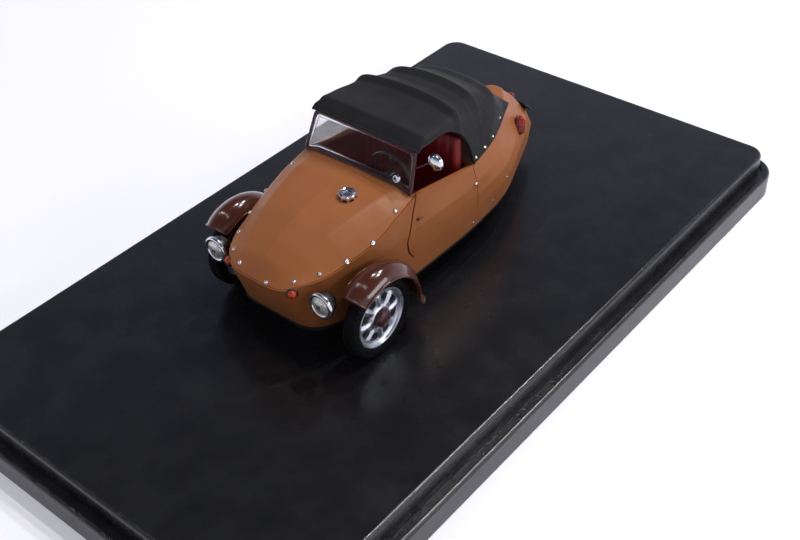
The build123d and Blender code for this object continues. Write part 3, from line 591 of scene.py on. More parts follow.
def leathercloth(name, code, roughness=0.5):
    """Seat trim in painted, grained leathercloth: small closed cells with fine creases."""
    material, tree, place = start_material(name)
    cells = add_node(
        tree, "ShaderNodeTexVoronoi", {"Vector": place, "Scale": 1 / (0.35 * MM)},
        feature="DISTANCE_TO_EDGE",
    )
    crease = add_node(
        tree, "ShaderNodeMapRange", {"Value": cells.outputs["Distance"], "From Max": 0.12},
    )
    return principled(material, {
        "Base Color": tinted(tree, linear(code), 2.5, 0.12, place),
        "Roughness": varied(tree, 1.2, roughness - 0.08, roughness + 0.08, place),
        "Normal": bumped(tree, crease.outputs["Result"], 0.01),
    })


def clear_acetate(name, code="ffffff", roughness=0.02, alpha=0.35, ior=1.2):
    """Vacuum formed acetate sheet. Most of the light goes straight through a sheet this thin, which
    alpha stands for. An IOR under the sheet's own 1.47 keeps the mirrored room off it."""
    material = start_material(name)[0]
    return principled(material, {
        "Base Color": linear(code),
        "Roughness": roughness,
        "IOR": ior,
        "Transmission Weight": 1.0,
        "Alpha": alpha,
    })


def lamp_plastic(name, code, transmission, roughness=0.12):
    """Tinted clear styrene of a lamp lens: glossy, deep in colour, lit a little from within."""
    material, tree, place = start_material(name)
    return principled(material, {
        "Base Color": linear(code),
        "Roughness": varied(tree, 0.5, roughness - 0.03, roughness + 0.06, place),
        "IOR": 1.5,
        "Transmission Weight": transmission,
        "Normal": grained(tree, 0.25, 0.003, place),
    })


def silver_backed_styrene(name, code):
    """Clear styrene over a silvered back: a soft, mottled mirror under a gloss skin."""
    material, tree, place = start_material(name)
    return principled(material, {
        "Base Color": tinted(tree, linear(code), 0.5, 0.35, place),
        "Metallic": 0.55,
        "Roughness": 0.3,
        "Coat Weight": 1.0,
        "Coat Roughness": 0.06,
        "Normal": grained(tree, 0.6, 0.02, place),
    })


def soft_vinyl_tyre(name, code="040405"):
    """Soft vinyl of a tyre: near black, dull, paler where it has been handled."""
    material, tree, place = start_material(name)
    return principled(material, {
        "Base Color": tinted(tree, linear(code), 1.5, 0.35, place),
        "Roughness": varied(tree, 0.8, 0.6, 0.78, place),
        "Normal": grained(tree, 0.2, 0.006, place),
        "IOR": 1.25,
    })


class ModelCarStage(bpy.types.PropertyGroup):
    """Table, light and camera."""

    table_colour: bpy.props.FloatVectorProperty(
        name="Table colour", description="Colour of the table top",
        subtype="COLOR", size=4, min=0, max=1, default=linear("f3f2fb"),
    )
    table_size: bpy.props.FloatProperty(
        name="Table size", description="Radius of the table top", default=3.0, unit="LENGTH",
    )
    table_glow: bpy.props.FloatProperty(
        name="Table glow", description="Light added to the table where it is seen", default=0.22, min=0,
    )
    key_power: bpy.props.FloatProperty(
        name="Ceiling lamps", description="Power of the lamps over the model", default=4.3, unit="POWER",
    )
    window_power: bpy.props.FloatProperty(
        name="Window lamp", description="Power of the long low lamp to the left", default=1.3,
        unit="POWER",
    )
    room_level: bpy.props.FloatProperty(
        name="Room level", description="Brightness of the room that lights the model", default=0.12,
        min=0,
    )


class ModelCarPaint(bpy.types.PropertyGroup):
    """Colours of the painted and moulded pieces, as sRGB hex codes."""

    body: bpy.props.StringProperty(
        name="Body", description="Enamel of the body panels", default="9c5d31"
    )
    guards: bpy.props.StringProperty(
        name="Mudguards", description="Enamel of the mudguards", default="4a2418"
    )
    frame: bpy.props.StringProperty(
        name="Windscreen frame", description="Enamel of the frame", default="431a1f"
    )
    trim: bpy.props.StringProperty(
        name="Trim", description="Leathercloth of the seat and the door trim", default="861517"
    )
    hood: bpy.props.StringProperty(name="Hood", description="Cloth of the soft top", default="0b0b0e")
    caps: bpy.props.StringProperty(name="Hub caps", description="Enamel of the hub caps", default="4a2429")


class ModelCarHood(bpy.types.PropertyGroup):
    """Sizes of the soft top."""

    wall: bpy.props.FloatProperty(
        name="Wall", description="Thickness of the cloth", default=0.45 * MM, unit="LENGTH"
    )
    piping: bpy.props.FloatProperty(
        name="Piping", description="Radius of the bead along the edges", default=0.2 * MM, unit="LENGTH"
    )
    softness: bpy.props.FloatProperty(
        name="Softness", description="Length over which the hoops' ridges are rounded",
        default=0.22 * MM, unit="LENGTH",
    )
    thread: bpy.props.FloatProperty(
        name="Thread", description="Spacing of the cloth's threads", default=0.3 * MM, unit="LENGTH"
    )


class ModelCarTrim(bpy.types.PropertyGroup):
    """Sizes of the seat, the studs and the tread."""

    pleats: bpy.props.IntProperty(
        name="Pleats", description="Number of sewn channels across the seat", default=12, min=2
    )
    pleat_depth: bpy.props.FloatProperty(
        name="Pleat depth", description="Depth of the channels", default=0.28 * MM, unit="LENGTH"
    )
    stud_radius: bpy.props.FloatProperty(
        name="Stud radius", description="Radius of the press studs", default=0.34 * MM, unit="LENGTH"
    )
    tread_depth: bpy.props.FloatProperty(
        name="Tread depth", description="Depth of the tyre's grooves", default=0.16 * MM, unit="LENGTH"
    )


class MODELCAR_OT_stage(bpy.types.Operator):
    """Table, room light, lamps and the camera at the photograph's place"""

    bl_idname = "modelcar.stage"
    bl_label = "Stage"

    def execute(self, context):
        settings = context.scene.modelcar_stage
        self.table(settings)
        self.room(context, settings)
        self.lamps(context, settings)
        self.camera(context)
        return {"FINISHED"}

    def table(self, settings):
        """A flat round top: rings of points about the middle, at the plinth's underside."""
        radius = settings.table_size / MM
        rings = radius * np.linspace(0, 1, 12) ** 3
        profile = np.stack([np.zeros(12), rings], axis=-1)
        material, tree, place = start_material("laminated_table_top")
        colour = tinted(tree, settings.table_colour, 150.0, 0.012, place)
        lit = add_node(tree, "ShaderNodeBsdfPrincipled", {"Base Color": colour, "Roughness": 0.6})
        ray = add_node(tree, "ShaderNodeLightPath")
        away = add_node(tree, "ShaderNodeVectorMath", {0: place}, operation="LENGTH")
        rising = add_node(
            tree, "ShaderNodeMapRange",
            {"Value": away.outputs["Value"], "From Min": 0.4, "From Max": 1.4,
             "To Min": settings.table_glow, "To Max": 0.9},
        )
        glow = add_node(
            tree, "ShaderNodeEmission",
            {"Color": linear("f8f8ff"), "Strength": rising.outputs["Result"]},
        )
        bright = add_node(tree, "ShaderNodeAddShader", {0: lit.outputs[0], 1: glow.outputs[0]})
        surface = add_node(
            tree, "ShaderNodeMixShader",
            {"Fac": ray.outputs["Is Diffuse Ray"], 1: bright.outputs[0], 2: lit.outputs[0]},
        )
        end_material(tree, surface)
        patch = lathe_patch(profile, (0, 0, 0), (0, 0, 1), 96)
        points, faces = patch
        mesh = bpy.data.meshes.new("table")
        mesh.from_pydata((points * MM).tolist(), [], faces[:, ::-1].tolist())
        table = bpy.data.objects.new("table", mesh)
        bpy.context.scene.collection.objects.link(table)
        mesh.materials.append(material)

    def room(self, context, settings):
        """The room: dim where it only lights the model, pale towards the horizon and dark overhead
        where it is mirrored, and white where the camera sees it."""
        world = bpy.data.worlds.new("room")
        context.scene.world = world
        world.use_nodes = True
        tree = world.node_tree
        tree.nodes.clear()
        ray = add_node(tree, "ShaderNodeLightPath")
        place = add_node(tree, "ShaderNodeTexCoord").outputs["Generated"]
        height = add_node(tree, "ShaderNodeSeparateXYZ", {"Vector": place}).outputs["Z"]
        ramp = add_node(tree, "ShaderNodeValToRGB", {"Fac": height})
        stops = ((0.0, "f6f6ff"), (0.30, "d4d8ea"), (0.50, "8d93a6"), (0.66, "545766"), (0.85, "40414d"))
        while len(ramp.color_ramp.elements) < len(stops):
            ramp.color_ramp.elements.new(0.5)
        for element, (position, code) in zip(ramp.color_ramp.elements, stops):
            element.position = position
            element.color = linear(code)
        mirrored = add_node(tree, "ShaderNodeBackground", {"Color": ramp.outputs["Color"], "Strength": 1.0})
        dim = add_node(
            tree, "ShaderNodeBackground",
            {"Color": linear("fbfbff"), "Strength": settings.room_level},
        )
        white = add_node(tree, "ShaderNodeBackground", {"Color": linear("f7f7fd"), "Strength": 1.0})
        lit = add_node(
            tree, "ShaderNodeMixShader",
            {"Fac": ray.outputs["Is Diffuse Ray"], 1: mirrored.outputs[0], 2: dim.outputs[0]},
        )
        seen = add_node(
            tree, "ShaderNodeMixShader",
            {"Fac": ray.outputs["Is Camera Ray"], 1: lit.outputs[0], 2: white.outputs[0]},
        )
        add_node(tree, "ShaderNodeOutputWorld", {"Surface": seen.outputs[0]})

    def lamps(self, context, settings):
        """Three lamps overhead and behind, a long low one like a window to the car's left, and two
        rows of small ones that glint in the gloss paint."""
        lamps = [("window_lamp", (-0.18, 0.62, 0.34), (0.60, 0.12), settings.window_power)]
        for i, place in enumerate(((-0.48, 0.12, 0.66), (-0.38, 0.26, 0.66), (-0.30, 0.02, 0.76))):
            lamps.append((f"ceiling_lamp_{i}", place, (0.025, 0.025), settings.key_power / 3))
        for i in range(5):
            y = -0.8 + 0.3 * i
            lamps.append((f"glint_lamp_{i}", (0.08, y, 0.80), (0.02, 0.02), 0.2))
            lamps.append((f"front_glint_lamp_{i}", (0.65, y, 0.75), (0.016, 0.016), 0.12))
        for name, place, size, watts in lamps:
            data = bpy.data.lights.new(name, "AREA")
            data.shape = "RECTANGLE"
            data.size, data.size_y = size
            data.energy = watts
            lamp = bpy.data.objects.new(name, data)
            context.scene.collection.objects.link(lamp)
            lamp.location = place
            lamp.rotation_mode = "QUATERNION"
            lamp.rotation_quaternion = (-Vector(place)).to_track_quat("-Z", "Y")

    def camera(self, context):
        """The camera that the plinth's edges in the photograph give."""
        yaw, pitch, roll = (math.radians(a) for a in (41.226, 39.207, -2.6125))
        back = Vector((math.cos(pitch) * math.cos(yaw), math.cos(pitch) * math.sin(yaw), math.sin(pitch)))
        right = (-back).cross(Vector((0, 0, 1))).normalized()
        over = right.cross(-back)
        across = math.cos(roll) * right + math.sin(roll) * over
        up = math.cos(roll) * over - math.sin(roll) * right
        data = bpy.data.cameras.new("photograph")
        data.sensor_width = 36.0
        data.lens = 53.525
        data.clip_start = 0.005
        data.clip_end = 10.0
        camera = bpy.data.objects.new("photograph", data)
        context.scene.collection.objects.link(camera)
        turn = Matrix((across, up, back)).transposed().to_4x4()
        camera.matrix_world = Matrix.Translation((0.11469, 0.10279, 0.12937)) @ turn
        context.scene.camera = camera


class MODELCAR_OT_finishes(bpy.types.Operator):
    """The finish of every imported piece"""

    bl_idname = "modelcar.finishes"
    bl_label = "Finishes"

    def execute(self, context):
        paint = context.scene.modelcar_paint
        made = {
            "plinth_black": moulded_plastic("moulded_black_abs", "121215", 0.26, 0.25, 0.0012),
            "body_tan": sprayed_enamel("sprayed_tan_enamel", paint.body, 0.46),
            "guard_brown": sprayed_enamel("sprayed_brown_enamel", paint.guards, 0.16, 0.6, 0.8, 0.002),
            "chrome": vacuum_chrome("vacuum_metallised_styrene"),
            "tyre": soft_vinyl_tyre("soft_vinyl_tyre"),
            "hood_black": woven_hood_cloth(
                "matt_black_hood_cloth", paint.hood, context.scene.modelcar_hood.thread / MM
            ),
            "clear_sheet": clear_acetate("formed_clear_acetate"),
            "frame_maroon": sprayed_enamel("brushed_on_maroon_enamel", paint.frame, 0.3, 0.2, 0.3, 0.003),
            "trim_red": leathercloth("painted_red_leathercloth", paint.trim),
            "trim_black": moulded_plastic("moulded_black_styrene", "0a080a", 0.32, 0.2, 0.002),
            "chassis_black": sprayed_enamel("satin_black_chassis_enamel", "101012", 0.5),
            "lamp_clear": lamp_plastic("clear_lamp_styrene", "e4e4e2", 0.45, 0.12),
            "lamp_amber": lamp_plastic("orange_lamp_styrene", "d2420a", 0.3),
            "lamp_red": lamp_plastic("red_lamp_styrene", "8e0f18", 0.25),
            "cap_mauve": sprayed_enamel("sprayed_maroon_cap_enamel", paint.caps, 0.25, 0.3, 0.4, 0.002),
            "screw_steel": vacuum_chrome("zinc_plated_steel", "b9bcc0", 0.3),
        }
        silver_backed_styrene("silver_backed_lamp_styrene", "dad8d2")
        vacuum_chrome("plated_wheel_styrene", "cfd2da", 0.3)
        lamp_plastic("crimson_lamp_styrene", "8c0710", 0.2)
        lamp_plastic("scarlet_lamp_styrene", "b5230c", 0.25)
        leathercloth("flocked_red_floor_mat", "2a0b0a", 0.85)
        clear_acetate("clear_acetate_edge", "f4f6f8", 0.12, 1.0, 1.45)
        slot_names = {row["node"]: row["material_slot"] for row in frame["record"]["subparts"]}
        for name, node in frame["nodes"].items():
            for slot in node.material_slots:
                slot.material = made[slot_names[name]]
        return {"FINISHED"}


class MODELCAR_OT_body(bpy.types.Operator):
    """Bonnet, nose, cowl sides, sills, doors and tail as thin smooth panels"""

    bl_idname = "modelcar.body"
    bl_label = "Body panels"

    def execute(self, context):
        enamel = "sprayed_tan_enamel"
        wall = 0.7
        end = float(along_of(BONNET_BACK_X, DOOR_TOP_H[1]))
        along = end * np.linspace(0, 1, 110) ** 1.2
        hem = hem_line(along)
        make_piece("bonnet_panel", self.bonnet(along, hem), enamel, "bonnet")
        front = self.front(along, hem, wall)
        sill = self.sill(wall)
        make_piece(
            "nose_and_sills", joined([front, sill, other_side(front), other_side(sill)]), enamel,
            "front_body", close=False,
        )
        for name, side in SIDES.items():
            make_piece(
                f"door_panel_{name}", on_side(self.door(wall), side), enamel, f"door_{name}",
                close=False,
            )
        tail = self.tail(wall)
        make_piece("tail_panel", joined([tail, other_side(tail)]), enamel, "rear_body", close=False)
        return {"FINISHED"}

    def bonnet(self, along, hem):
        """Rows from the hem, which lies a little inside the sides, to the centre line, fanned out
        at the nose; every point lies on the bonnet's height over x and y."""
        edge = body_at(along, hem)
        run = unit(np.gradient(edge[:, :2], axis=0))
        edge[:, :2] += 0.18 * np.stack([-run[:, 1], run[:, 0]], axis=-1)
        edge[0, 1] = 0.0
        reach = np.linspace(0, 1, 40)[None, :, None]
        centre_x = np.linspace(edge[0, 0] - 3.0, BONNET_BACK_X, len(along))
        centre_x = np.minimum(centre_x, np.maximum(edge[:, 0] - 3.0 * (1 - along / along[-1]), BONNET_BACK_X))
        middle = np.stack([centre_x, np.zeros(len(along))], axis=-1)
        plan = edge[:, None, :2] * (1 - reach) + middle[:, None] * reach
        h = bonnet_h(plan[..., 0], plan[..., 1])
        grid = np.concatenate([plan, h[..., None] + ROAD], axis=-1)
        whole = np.concatenate([grid, grid[:, -2::-1] * (1, -1, 1)], axis=1)
        return shell_patch(whole, 0.5, level=whole.shape[1], folded=True)

    def front(self, along, hem, wall):
        """Columns along the side from the nose's middle to the door, rows from the sill to the hem."""
        share = np.linspace(0, 1, 120)[:, None]
        up = np.linspace(0, 1, 40)[None]
        h = SILL_H + up * 10 + 0 * share
        for _ in range(6):
            place = share * along_of(door_front_x(h), h)
            h = SILL_H + up * (np.interp(place, along, hem) - SILL_H - 0.04)
        return shell_patch(body_at(place, h), wall)

    def sill(self, wall):
        """The strip under the door."""
        share = np.linspace(0, 1, 50)[:, None]
        h = np.linspace(SILL_H, DOOR_FOOT_H, 14)[None] + 0 * share
        x = door_front_x(h) * (1 - share) + DOOR_REAR_X * share
        return shell_patch(body_at(along_of(x, h), h), wall)

    def door(self, wall):
        """From the curved front seam to the rear one, up to the sloping top edge."""
        front_gap, rear_gap = 0.34, 0.14
        share = np.linspace(0, 1, 60)[:, None]
        up = np.linspace(0, 1, 50)[None]
        h = DOOR_FOOT_H + up * 8 + 0 * share
        for _ in range(6):
            x = (door_front_x(h) - front_gap) * (1 - share) + (DOOR_REAR_X + rear_gap) * share
            h = DOOR_FOOT_H + up * (door_top_h(x) - DOOR_FOOT_H)
        return shell_patch(body_at(along_of(x, h), h), wall)

    def tail(self, wall):
        """The sides up to a rounded edge, then the deck in to the centre line."""
        radius = 0.5
        share = np.linspace(0, 1, 110)[:, None]
        h = np.linspace(SILL_H, DECK_H - radius, 44)[None] + 0 * share
        first = along_of(DOOR_REAR_X, h)
        side = body_at(first + share * (LAST - first), h)
        turn = np.linspace(0, math.pi / 2, 7)[None, 1:, None]
        edge = side[:, -1:]
        run = unit(np.gradient(edge[:, 0, :2], axis=0))
        inward = np.stack([-run[:, 1], run[:, 0], 0 * run[:, 0]], axis=-1)[:, None]
        inward[-1] = (1, 0, 0)
        top = np.array([0, 0, 1.0])
        arc = edge + radius * (1 - np.cos(turn)) * inward + radius * np.sin(turn) * top
        deck = np.linspace(0, 1, 12)[None, 1:, None]
        flat = arc[:, -1:] * (1 - deck * (0, 1, 0))
        return shell_patch(np.concatenate([side, arc, flat], axis=1), wall, level=flat.shape[1])


class MODELCAR_OT_hood(bpy.types.Operator):
    """Soft top over its hoops, with piping and a rear window"""

    bl_idname = "modelcar.hood"
    bl_label = "Soft top"

    # x, half width at the foot, then y and height of the shoulder, the crown's height and the
    # shoulder's radius; the first rows are the flap over the windscreen
    sections = (
        (4.2, 10.5, 10.35, 25.65, 25.7, 0.15), (4.0, 10.5, 10.35, 25.95, 26.05, 0.3),
        (2.0, 10.8, 10.4, 27.1, 27.3, 0.6),
        (-2.0, 10.9, 10.2, 26.75, 27.1, 0.9), (-4.9, 10.95, 9.95, 26.65, 27.05, 1.1),
        (-6.0, 11.0, 9.9, 27.2, 27.75, 1.2), (-6.4, 11.0, 9.85, 27.2, 27.75, 1.3),
        (-7.0, 11.0, 9.7, 26.6, 27.15, 1.4), (-8.6, 10.95, 9.35, 26.1, 26.7, 1.5),
        (-10.8, 10.6, 8.95, 25.75, 26.5, 1.6), (-11.7, 10.4, 8.8, 25.95, 26.8, 1.6),
        (-12.3, 10.3, 8.7, 26.1, 27.05, 1.6), (-12.9, 10.15, 8.6, 25.7, 26.6, 1.6),
        (-14.6, 9.75, 8.4, 24.85, 25.6, 1.6), (-16.4, 9.2, 8.2, 24.25, 24.8, 1.5),
        (-17.8, 8.6, 8.0, 24.1, 24.7, 1.4), (-18.3, 8.35, 7.8, 23.9, 24.55, 1.3),
        (-18.9, 8.1, 7.55, 23.2, 23.9, 1.3), (-21.8, 6.75, 6.4, 20.0, 20.6, 1.2),
        (-24.3, 5.55, 5.4, 18.3, 18.7, 0.9), (-26.0, 4.85, 4.8, 17.6, 17.8, 0.4),
        (-26.6, 4.5, 4.6, 17.15, 17.2, 0.1),
    )
    window = ((-19.2, 3.9), (-22.0, 3.1))
    bow = 1.1                   # how far behind its ends the middle of a hoop lies

    def execute(self, context):
        hood = context.scene.modelcar_hood
        soft = hood.softness / MM
        x, edge_h = self.stations()
        grid, window_columns = self.surface(x, edge_h, soft)
        rows = np.flatnonzero((x[:-1] <= self.window[0][0] + 1e-6) & (x[1:] >= self.window[1][0] - 1e-6))
        keep = np.ones((grid.shape[0] - 1, grid.shape[1] - 1), bool)
        low, high = window_columns
        keep[rows[0]:rows[-1] + 1, low:high] = False
        cloth = "matt_black_hood_cloth"
        make_piece(
            "hood_cloth", shell_patch(grid, hood.wall / MM, keep), cloth, "soft_top", sharp=50,
            close=False,
        )
        window = grid[rows[0]:rows[-1] + 2, low:high + 1]
        self.pane(window)
        frame_path = np.vstack([
            window[0, :-1], window[:-1, -1], window[-1, :0:-1], window[:0:-1, 0],
        ])
        opening = slice(0, int(np.argmin(np.abs(x - (DOOR_REAR_X - 0.3)))) + 1)
        radius = hood.piping / MM
        beads = [
            tube_patch(frame_path, 0.16, closed=True, sides=8),
            tube_patch(grid[opening, 0], radius, up=(0, 1, 0), sides=8),
            tube_patch(grid[opening, -1], radius, up=(0, 1, 0), sides=8),
            tube_patch(grid[0], radius, up=(1, 0, 0), sides=8),
        ]
        make_piece("hood_piping", joined(beads), cloth)
        return {"FINISHED"}

    def stations(self):
        """Places along X and the height of the lower edge there: level along the visor, a round
        side opening behind it, and the deck from there on."""
        points = np.array([(0.2, 26.2), (-5.7, 24.1), (-8.6, 18.6)])
        a, b, c = points
        lines = 2 * np.array([b - a, c - a])
        centre = np.linalg.solve(lines, [b @ b - a @ a, c @ c - a @ a])
        radius = np.linalg.norm(a - centre)
        turn = np.arctan2(*(points[[0, 2]] - centre).T[::-1])
        turns = np.linspace(turn[0], turn[1], 60)
        arc = centre + radius * np.stack([np.cos(turns), np.sin(turns)], axis=-1)
        steep = np.linspace(0, 1, 12)
        front = np.stack([4.1 - 0.2 * steep, 25.65 + 0.55 * steep], axis=-1)
        visor = np.stack([np.linspace(3.85, 0.5, 26), np.full(26, 26.2)], axis=-1)
        drop = np.stack([np.linspace(-8.65, -8.9, 6), np.linspace(18.2, DECK_H, 6)], axis=-1)
        top, low = (place for place, _ in self.window)
        before = np.stack([np.linspace(-9.2, top, 76), np.full(76, DECK_H)], axis=-1)
        beside = np.stack([np.linspace(top, low, 24)[1:], np.full(23, DECK_H)], axis=-1)
        after = np.stack([np.linspace(low, -26.6, 36)[1:], np.full(35, DECK_H)], axis=-1)
        path = np.vstack([front, visor, arc, drop, before, beside, after])
        return path[:, 0], path[:, 1]

    def surface(self, x, edge_h, soft):
        """Each cross-section is a straight side up to the shoulder, a parabola round it and a
        shallow parabola over the crown, which has a column along each edge of the window."""
        places = [-s[0] for s in self.sections]
        columns = [rounded_interp(-x, places, [s[i] for s in self.sections], soft) for i in range(1, 6)]
        foot, shoulder_y, shoulder_h, crown, radius = (c[:, None] for c in columns)
        edge_h = edge_h[:, None]
        rise = np.maximum(shoulder_h - edge_h, 0.12)
        edge_h = shoulder_h - rise
        apron = np.clip((-16.0 - x) / 4.0, 0, 1)[:, None]
        radius = np.minimum(radius, 0.9 * rise)
        lean = (foot - shoulder_y) / (shoulder_h - DECK_H)
        side_h = edge_h + (shoulder_h - radius - edge_h) * np.linspace(0, 1, 14)[None]
        low = np.clip((DECK_H + 0.9 - side_h) / 0.9, 0, 1)
        side_y = shoulder_y + (shoulder_h - side_h) * lean + 0.25 * apron * low ** 2
        inner_y = shoulder_y - 1.3 * radius

        def over(y):
            return crown - (crown - shoulder_h) * np.abs(y / shoulder_y) ** 3

        share = np.linspace(0, 1, 12)[None, 1:]
        bend_y = (
            (1 - share) ** 2 * side_y[:, -1:] + 2 * share * (1 - share) * shoulder_y
            + share ** 2 * inner_y
        )
        bend_h = (
            (1 - share) ** 2 * side_h[:, -1:] + 2 * share * (1 - share) * shoulder_h
            + share ** 2 * over(inner_y)
        )
        (top_x, top_y), (low_x, low_y) = self.window
        pane_y = np.interp(-x, (-top_x, -low_x), (top_y, low_y))[:, None]
        pane_y = np.minimum(pane_y, 0.8 * inner_y)
        outer_y = inner_y + (pane_y - inner_y) * np.linspace(0, 1, 10)[None, 1:]
        middle_y = pane_y * np.linspace(1, 0, 12)[None, 1:]
        top = np.concatenate([outer_y, middle_y], axis=1)
        y = np.concatenate([side_y, bend_y, top], axis=1)
        h = np.concatenate([side_h, bend_h, over(top)], axis=1)
        y = np.concatenate([y, -y[:, -2::-1]], axis=1)
        h = np.concatenate([h, h[:, -2::-1]], axis=1)
        bow = self.bow * np.clip((2.0 - x) / 6.0, 0, 1)[:, None] * np.clip((x + 27.6) / 4.0, 0, 1)[:, None]
        behind = bow * (1 - np.minimum(np.abs(y / shoulder_y), 1) ** 2)
        grid = np.stack([x[:, None] - behind, y, h + ROAD], axis=-1)
        low = side_h.shape[1] + bend_h.shape[1] + outer_y.shape[1] - 1
        return grid, (low, grid.shape[1] - 1 - low)

    def pane(self, window):
        """The clear pane, a little below the cloth's surface."""
        pane = window + (0, 0, -0.06)
        make_piece(
            "hood_window", shell_patch(pane, 0.15), "formed_clear_acetate", "rear_window",
            close=False,
        )


class MODELCAR_OT_seat(bpy.types.Operator):
    """Pleated bench seat with rounded edges"""

    bl_idname = "modelcar.seat"
    bl_label = "Seat and trim"

    def execute(self, context):
        trim = context.scene.modelcar_trim
        leather = "painted_red_leathercloth"
        cushion = [(-5.35, 5.35), (0.35, 5.35), (0.35, 10.0), (-0.4, 10.7), (-4.9, 10.5), (-5.35, 10.1)]
        back = [
            (-7.35, 5.35), (-5.55, 5.35), (-5.55, 10.4), (-6.2, 20.5), (-6.75, 22.0), (-7.6, 22.2),
            (-8.15, 21.4),
        ]
        make_piece(
            "seat_cushion_pleated", self.pad(cushion, trim, 0.35), leather, "seat_cushion",
            sharp=60,
        )
        make_piece(
            "seat_backrest_pleated", self.pad(back, trim, 0.35), leather, "seat_backrest", sharp=60,
        )
        return {"FINISHED"}

    def pad(self, corners, trim, corner):
        """A rounded profile carried across the car. Its surface bulges between sewn channels and
        draws in to a rounded edge at each end, closed at the middle of the end."""
        corners = np.array(corners, float)
        path = np.vstack([corners, corners[:1]])
        length = length_along(path)
        place = np.linspace(0, length[-1], 91)[:-1]
        far = np.concatenate([length[:-1] - length[-1], length, length[1:] + length[-1]])
        loop = [np.concatenate([path[:-1, i], path[:, i], path[1:, i]]) for i in (0, 1)]
        profile = np.stack([rounded_interp(place, far, values, corner) for values in loop], axis=-1)
        tangent = unit(np.roll(profile, -1, 0) - np.roll(profile, 1, 0))
        outward = np.stack([tangent[:, 1], -tangent[:, 0]], axis=-1)
        half = 9.35
        y = np.linspace(-half, half, trim.pleats * 14 + 1)
        depth = trim.pleat_depth / MM
        bulge = depth * (np.abs(np.sin(np.pi * trim.pleats * (y + half) / (2 * half))) ** 0.6 - 1)
        end = np.clip((half - np.abs(y)) / 0.6, 0, 1)
        inset = bulge * np.minimum(end * 2, 1) - 0.6 * (1 - np.sqrt(1 - (1 - end) ** 2))
        section = profile[None] + inset[:, None, None] * outward[None]
        across = np.broadcast_to(y[:, None, None], section.shape[:2] + (1,))
        grid = np.concatenate([section[..., :1], across, section[..., 1:] + ROAD], axis=-1)
        return capped_patch(grid)


class MODELCAR_OT_mudguards(bpy.types.Operator):
    """Front mudguards with rolled edges and a flared rear end"""

    bl_idname = "modelcar.mudguards"
    bl_label = "Mudguards"

    def execute(self, context):
        enamel = "sprayed_brown_enamel"
        for name, side in SIDES.items():
            grid = self.guard()
            patches = [shell_patch(grid, 0.4)]
            rim = np.vstack([grid[:-1, 0], grid[-1, :-1], grid[:0:-1, -1], grid[0, :0:-1]])
            patches.append(tube_patch(rim, 0.2, up=(0.3, 1, 0.2), closed=True, sides=8))
            make_piece(
                f"mudguard_rolled_{name}", on_side(joined(patches), side), enamel,
                f"mudguard_{name}", sharp=50, close=False,
            )
        return {"FINISHED"}

    def guard(self):
        """An arc across the wheel turned about the axle from front to rear; it narrows a little
        at the front, and at the rear it swings out to a small flare."""
        angle = np.radians(np.linspace(51, 194, 90))[:, None]
        across = np.linspace(-1, 1, 31)[None]
        turn = np.degrees(angle)
        half = 2.4 - 0.25 * np.clip((66 - turn) / 15, 0, 1) ** 2 - 0.3 * np.clip((turn - 172) / 22, 0, 1)
        flare = 1.3 * np.clip((turn - 180) / 14, 0, 1) ** 2
        radius = 7.2 + 1.6 * (1 - np.abs(across) ** 2.2) + flare
        x = FRONT_AXLE_X + radius * np.cos(angle)
        h = AXLE_H + radius * np.sin(angle)
        y = HALF_TRACK + half * across + 0 * angle
        return np.stack([x, y, h + ROAD], axis=-1)[:, ::-1]


